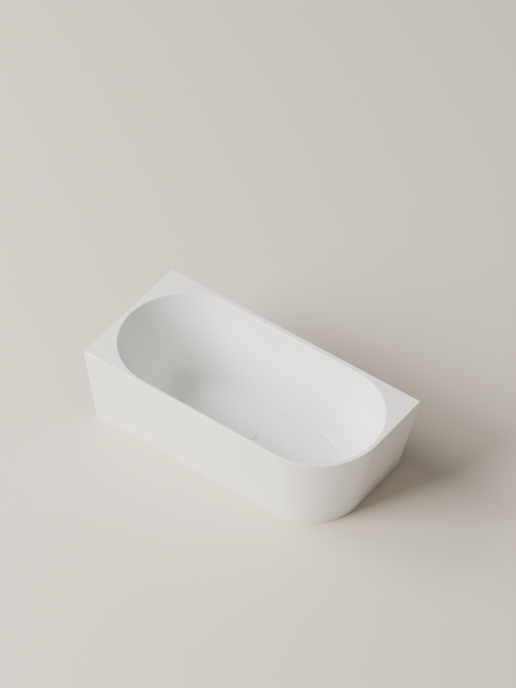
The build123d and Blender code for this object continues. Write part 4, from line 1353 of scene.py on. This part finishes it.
@dataclass
class Hardware:
    """Threaded spindles and nuts of the feet."""

    spindle_radius: float = 0.006
    thread_root: float = 0.0051
    pitch: float = 0.00175
    thread_steps: int = 24
    collar_flats: float = 0.017
    collar_low: float = 0.020
    collar_height: float = 0.008
    nut_flats: float = 0.018
    nut_bore: float = 0.00605
    bore_steps: int = 40
    turned_face: float = 0.97
    turned_clear: float = 1.02
    turned_slope: float = math.radians(30.0)
    turned_steps: int = 48

    def thread(self, low: float, high: float) -> Piece:
        """Threaded rod on the Z axis.

        Args:
            low: height of its lower end.
            high: height of its upper end.

        Returns:
            The rod, closed at both ends.
        """
        turns = int((high - low) / self.pitch) - 1
        crest = self.pitch / 8
        flank = (self.pitch - 2 * crest) / 2
        depth = self.spindle_radius - self.thread_root
        rod = start_line("thread", Vector((self.thread_root, 0.0, low)))
        for out, rise in ((depth, flank), (0.0, crest), (-depth, flank), (0.0, crest)):
            extrude((out, 0.0, rise))
        apply_modifier(rod, "SCREW", axis="Z", screw_offset=self.pitch, iterations=turns,
                       steps=self.thread_steps, render_steps=self.thread_steps,
                       use_merge_vertices=True, merge_threshold=1e-6)
        settle(rod)
        enter_edit(rod)
        select_parts(rod, Part.EDGE, is_open)
        bpy.ops.mesh.fill(use_beauty=False)
        return settle(rod)

    def hexagon(self, flats: float, low: float, high: float, bore: float) -> Piece:
        """Six-sided nut or collar on the Z axis with its corners turned down.

        Args:
            flats: width across flats.
            low: height of its lower face.
            high: height of its upper face.
            bore: radius of its bore, or zero for none.

        Returns:
            The finished object.
        """
        corner = flats / 2 / math.cos(math.pi / 6)
        middle = (0.0, 0.0, (low + high) / 2)
        body = primitive(bpy.ops.mesh.primitive_cylinder_add, "hexagon", vertices=6,
                         radius=corner, depth=high - low, location=middle,
                         rotation=(0.0, 0.0, math.pi / 6))
        turned, clear = flats / 2 * self.turned_face, corner * self.turned_clear
        drop = (clear - turned) * math.tan(self.turned_slope)
        profile = [(0.0, low), (turned, low), (clear, low + drop), (clear, high - drop),
                   (turned, high), (0.0, high)]
        carve(body, lathe("turned_corners", profile, Vector(), self.turned_steps), "INTERSECT")
        if bore:
            drill = primitive(bpy.ops.mesh.primitive_cylinder_add, "drill", radius=bore,
                              vertices=self.bore_steps, depth=0.1, location=middle)
            carve(body, drill, "DIFFERENCE")
        return settle(body)

    def set_of(self, name: str, pattern: Piece, places: list[Vector]) -> Piece:
        """Copies of a pattern at several places, as one object.

        Args:
            name: the joined object's name.
            pattern: the piece on the Z axis, which is used up.
            places: how far each copy stands from it.

        Returns:
            The joined object.
        """
        copies = [copy_of(pattern, f"{name}_{number}", place)
                  for number, place in enumerate(places)]
        bpy.data.objects.remove(pattern)
        return join(copies, name)

    def feet(self, wardrobe: Wardrobe) -> list[Vector]:
        """Builds a threaded spindle for each foot.

        Args:
            wardrobe: gives the finishes.

        Returns:
            The feet's places on the floor.
        """
        places = []
        names = [name for name in wardrobe.nodes if name.startswith("foot_spindle_")]
        low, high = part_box(names[0])
        collar = self.hexagon(self.collar_flats, self.collar_low,
                              self.collar_low + self.collar_height, 0.0)
        pattern = join([self.thread(low.z, high.z), collar], "spindle_pattern")
        for name in sorted(names):
            low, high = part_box(name)
            place = Vector(((low.x + high.x) / 2, (low.y + high.y) / 2, 0.0))
            places.append(place)
            number = name.rsplit("_", 1)[1]
            spindle = copy_of(pattern, f"threaded_spindle_{number}", place)
            wardrobe.finish_piece(spindle, f"foot_{number}", name)
        bpy.data.objects.remove(pattern)
        return places

    def build(self, wardrobe: Wardrobe) -> None:
        """Builds the spindles and the nuts.

        Args:
            wardrobe: gives the finishes.
        """
        places = self.feet(wardrobe)
        for node in ("foot_nuts", "foot_lock_nuts"):
            low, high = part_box(node)
            nut = self.hexagon(self.nut_flats, low.z, high.z, self.nut_bore)
            wardrobe.finish_piece(self.set_of(f"{node}_skin", nut, places), "bath", node)


@dataclass(frozen=True)
class Lamp:
    """Square soft box that faces the bath."""

    name: str
    place: Triple
    size: float
    watts: float
    colour: str
    target: Triple = (0.0, 0.0, 0.3)

    def build(self) -> None:
        """Hangs the lamp."""
        data = bpy.data.lights.new(self.name, "AREA")
        data.shape = "SQUARE"
        data.size = self.size
        data.energy = self.watts
        data.color = linear(self.colour)[:3]
        lamp = bpy.data.objects.new(self.name, data)
        lamp.location = self.place
        aim = Vector(self.target) - Vector(self.place)
        lamp.rotation_euler = aim.to_track_quat("-Z", "Y").to_euler()
        bpy.context.scene.collection.objects.link(lamp)


@dataclass
class Studio:
    """Camera, lamps, floor and world."""

    camera_place: Triple = (9.486, -12.623, 17.094)
    azimuth: float = 36.787
    elevation: float = 45.834
    focal_pixels: float = 4186.5
    frame_height: float = 688.0
    sensor: float = 36.0
    clip_end: float = 200.0
    floor_size: float = 60.0
    floor_drop: float = 0.0002
    floor_finish: Finish = Finish("floor", "#DBD0C0", 0.8)
    world_colour: str = "#E6E3DE"
    world_strength: float = 0.35
    lamps: tuple[Lamp, ...] = (Lamp("key", (-6.4, -10.8, 7.8), 8.0, 4850.0, "#FFFDFA"),
                               Lamp("side", (-8.8, -2.9, 7.2), 5.0, 1350.0, "#FFFEFC"))

    def camera(self) -> None:
        """Puts the camera at the photograph's place and angle."""
        data = bpy.data.cameras.new("camera")
        data.sensor_fit = "VERTICAL"
        data.sensor_height = self.sensor
        data.lens = self.focal_pixels * self.sensor / self.frame_height
        data.clip_end = self.clip_end
        camera = bpy.data.objects.new("camera", data)
        camera.location = self.camera_place
        camera.rotation_euler = (math.radians(90.0 - self.elevation), 0.0,
                                 math.radians(self.azimuth))
        bpy.context.scene.collection.objects.link(camera)
        bpy.context.scene.camera = camera

    def world(self) -> None:
        """Fills the room with soft light."""
        world = bpy.data.worlds.new("world")
        world.use_nodes = True
        bpy.context.scene.world = world
        background = world.node_tree.nodes["Background"]
        background.inputs["Color"].default_value = linear(self.world_colour)
        background.inputs["Strength"].default_value = self.world_strength

    def floor(self) -> None:
        """Lays the plain pale floor."""
        floor = primitive(bpy.ops.mesh.primitive_plane_add, "floor", size=self.floor_size,
                          location=(0.0, 0.0, -self.floor_drop))
        floor.data.materials.append(self.floor_finish.build())

    def build(self) -> None:
        """Sets up the whole studio."""
        self.camera()
        self.world()
        self.floor()
        for lamp in self.lamps:
            lamp.build()


def main() -> None:
    """Builds the studio and every piece in order."""
    logging.basicConfig(level=logging.INFO, format="%(name)s: %(message)s")
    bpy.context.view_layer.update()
    Studio().build()
    wardrobe = Wardrobe(frame["nodes"], frame["record"])
    for assembly in (BathBody(), Plug(), Underframe(), Hardware()):
        assembly.build(wardrobe)
    wardrobe.dress_nodes()


if __name__ == "__main__":
    main()
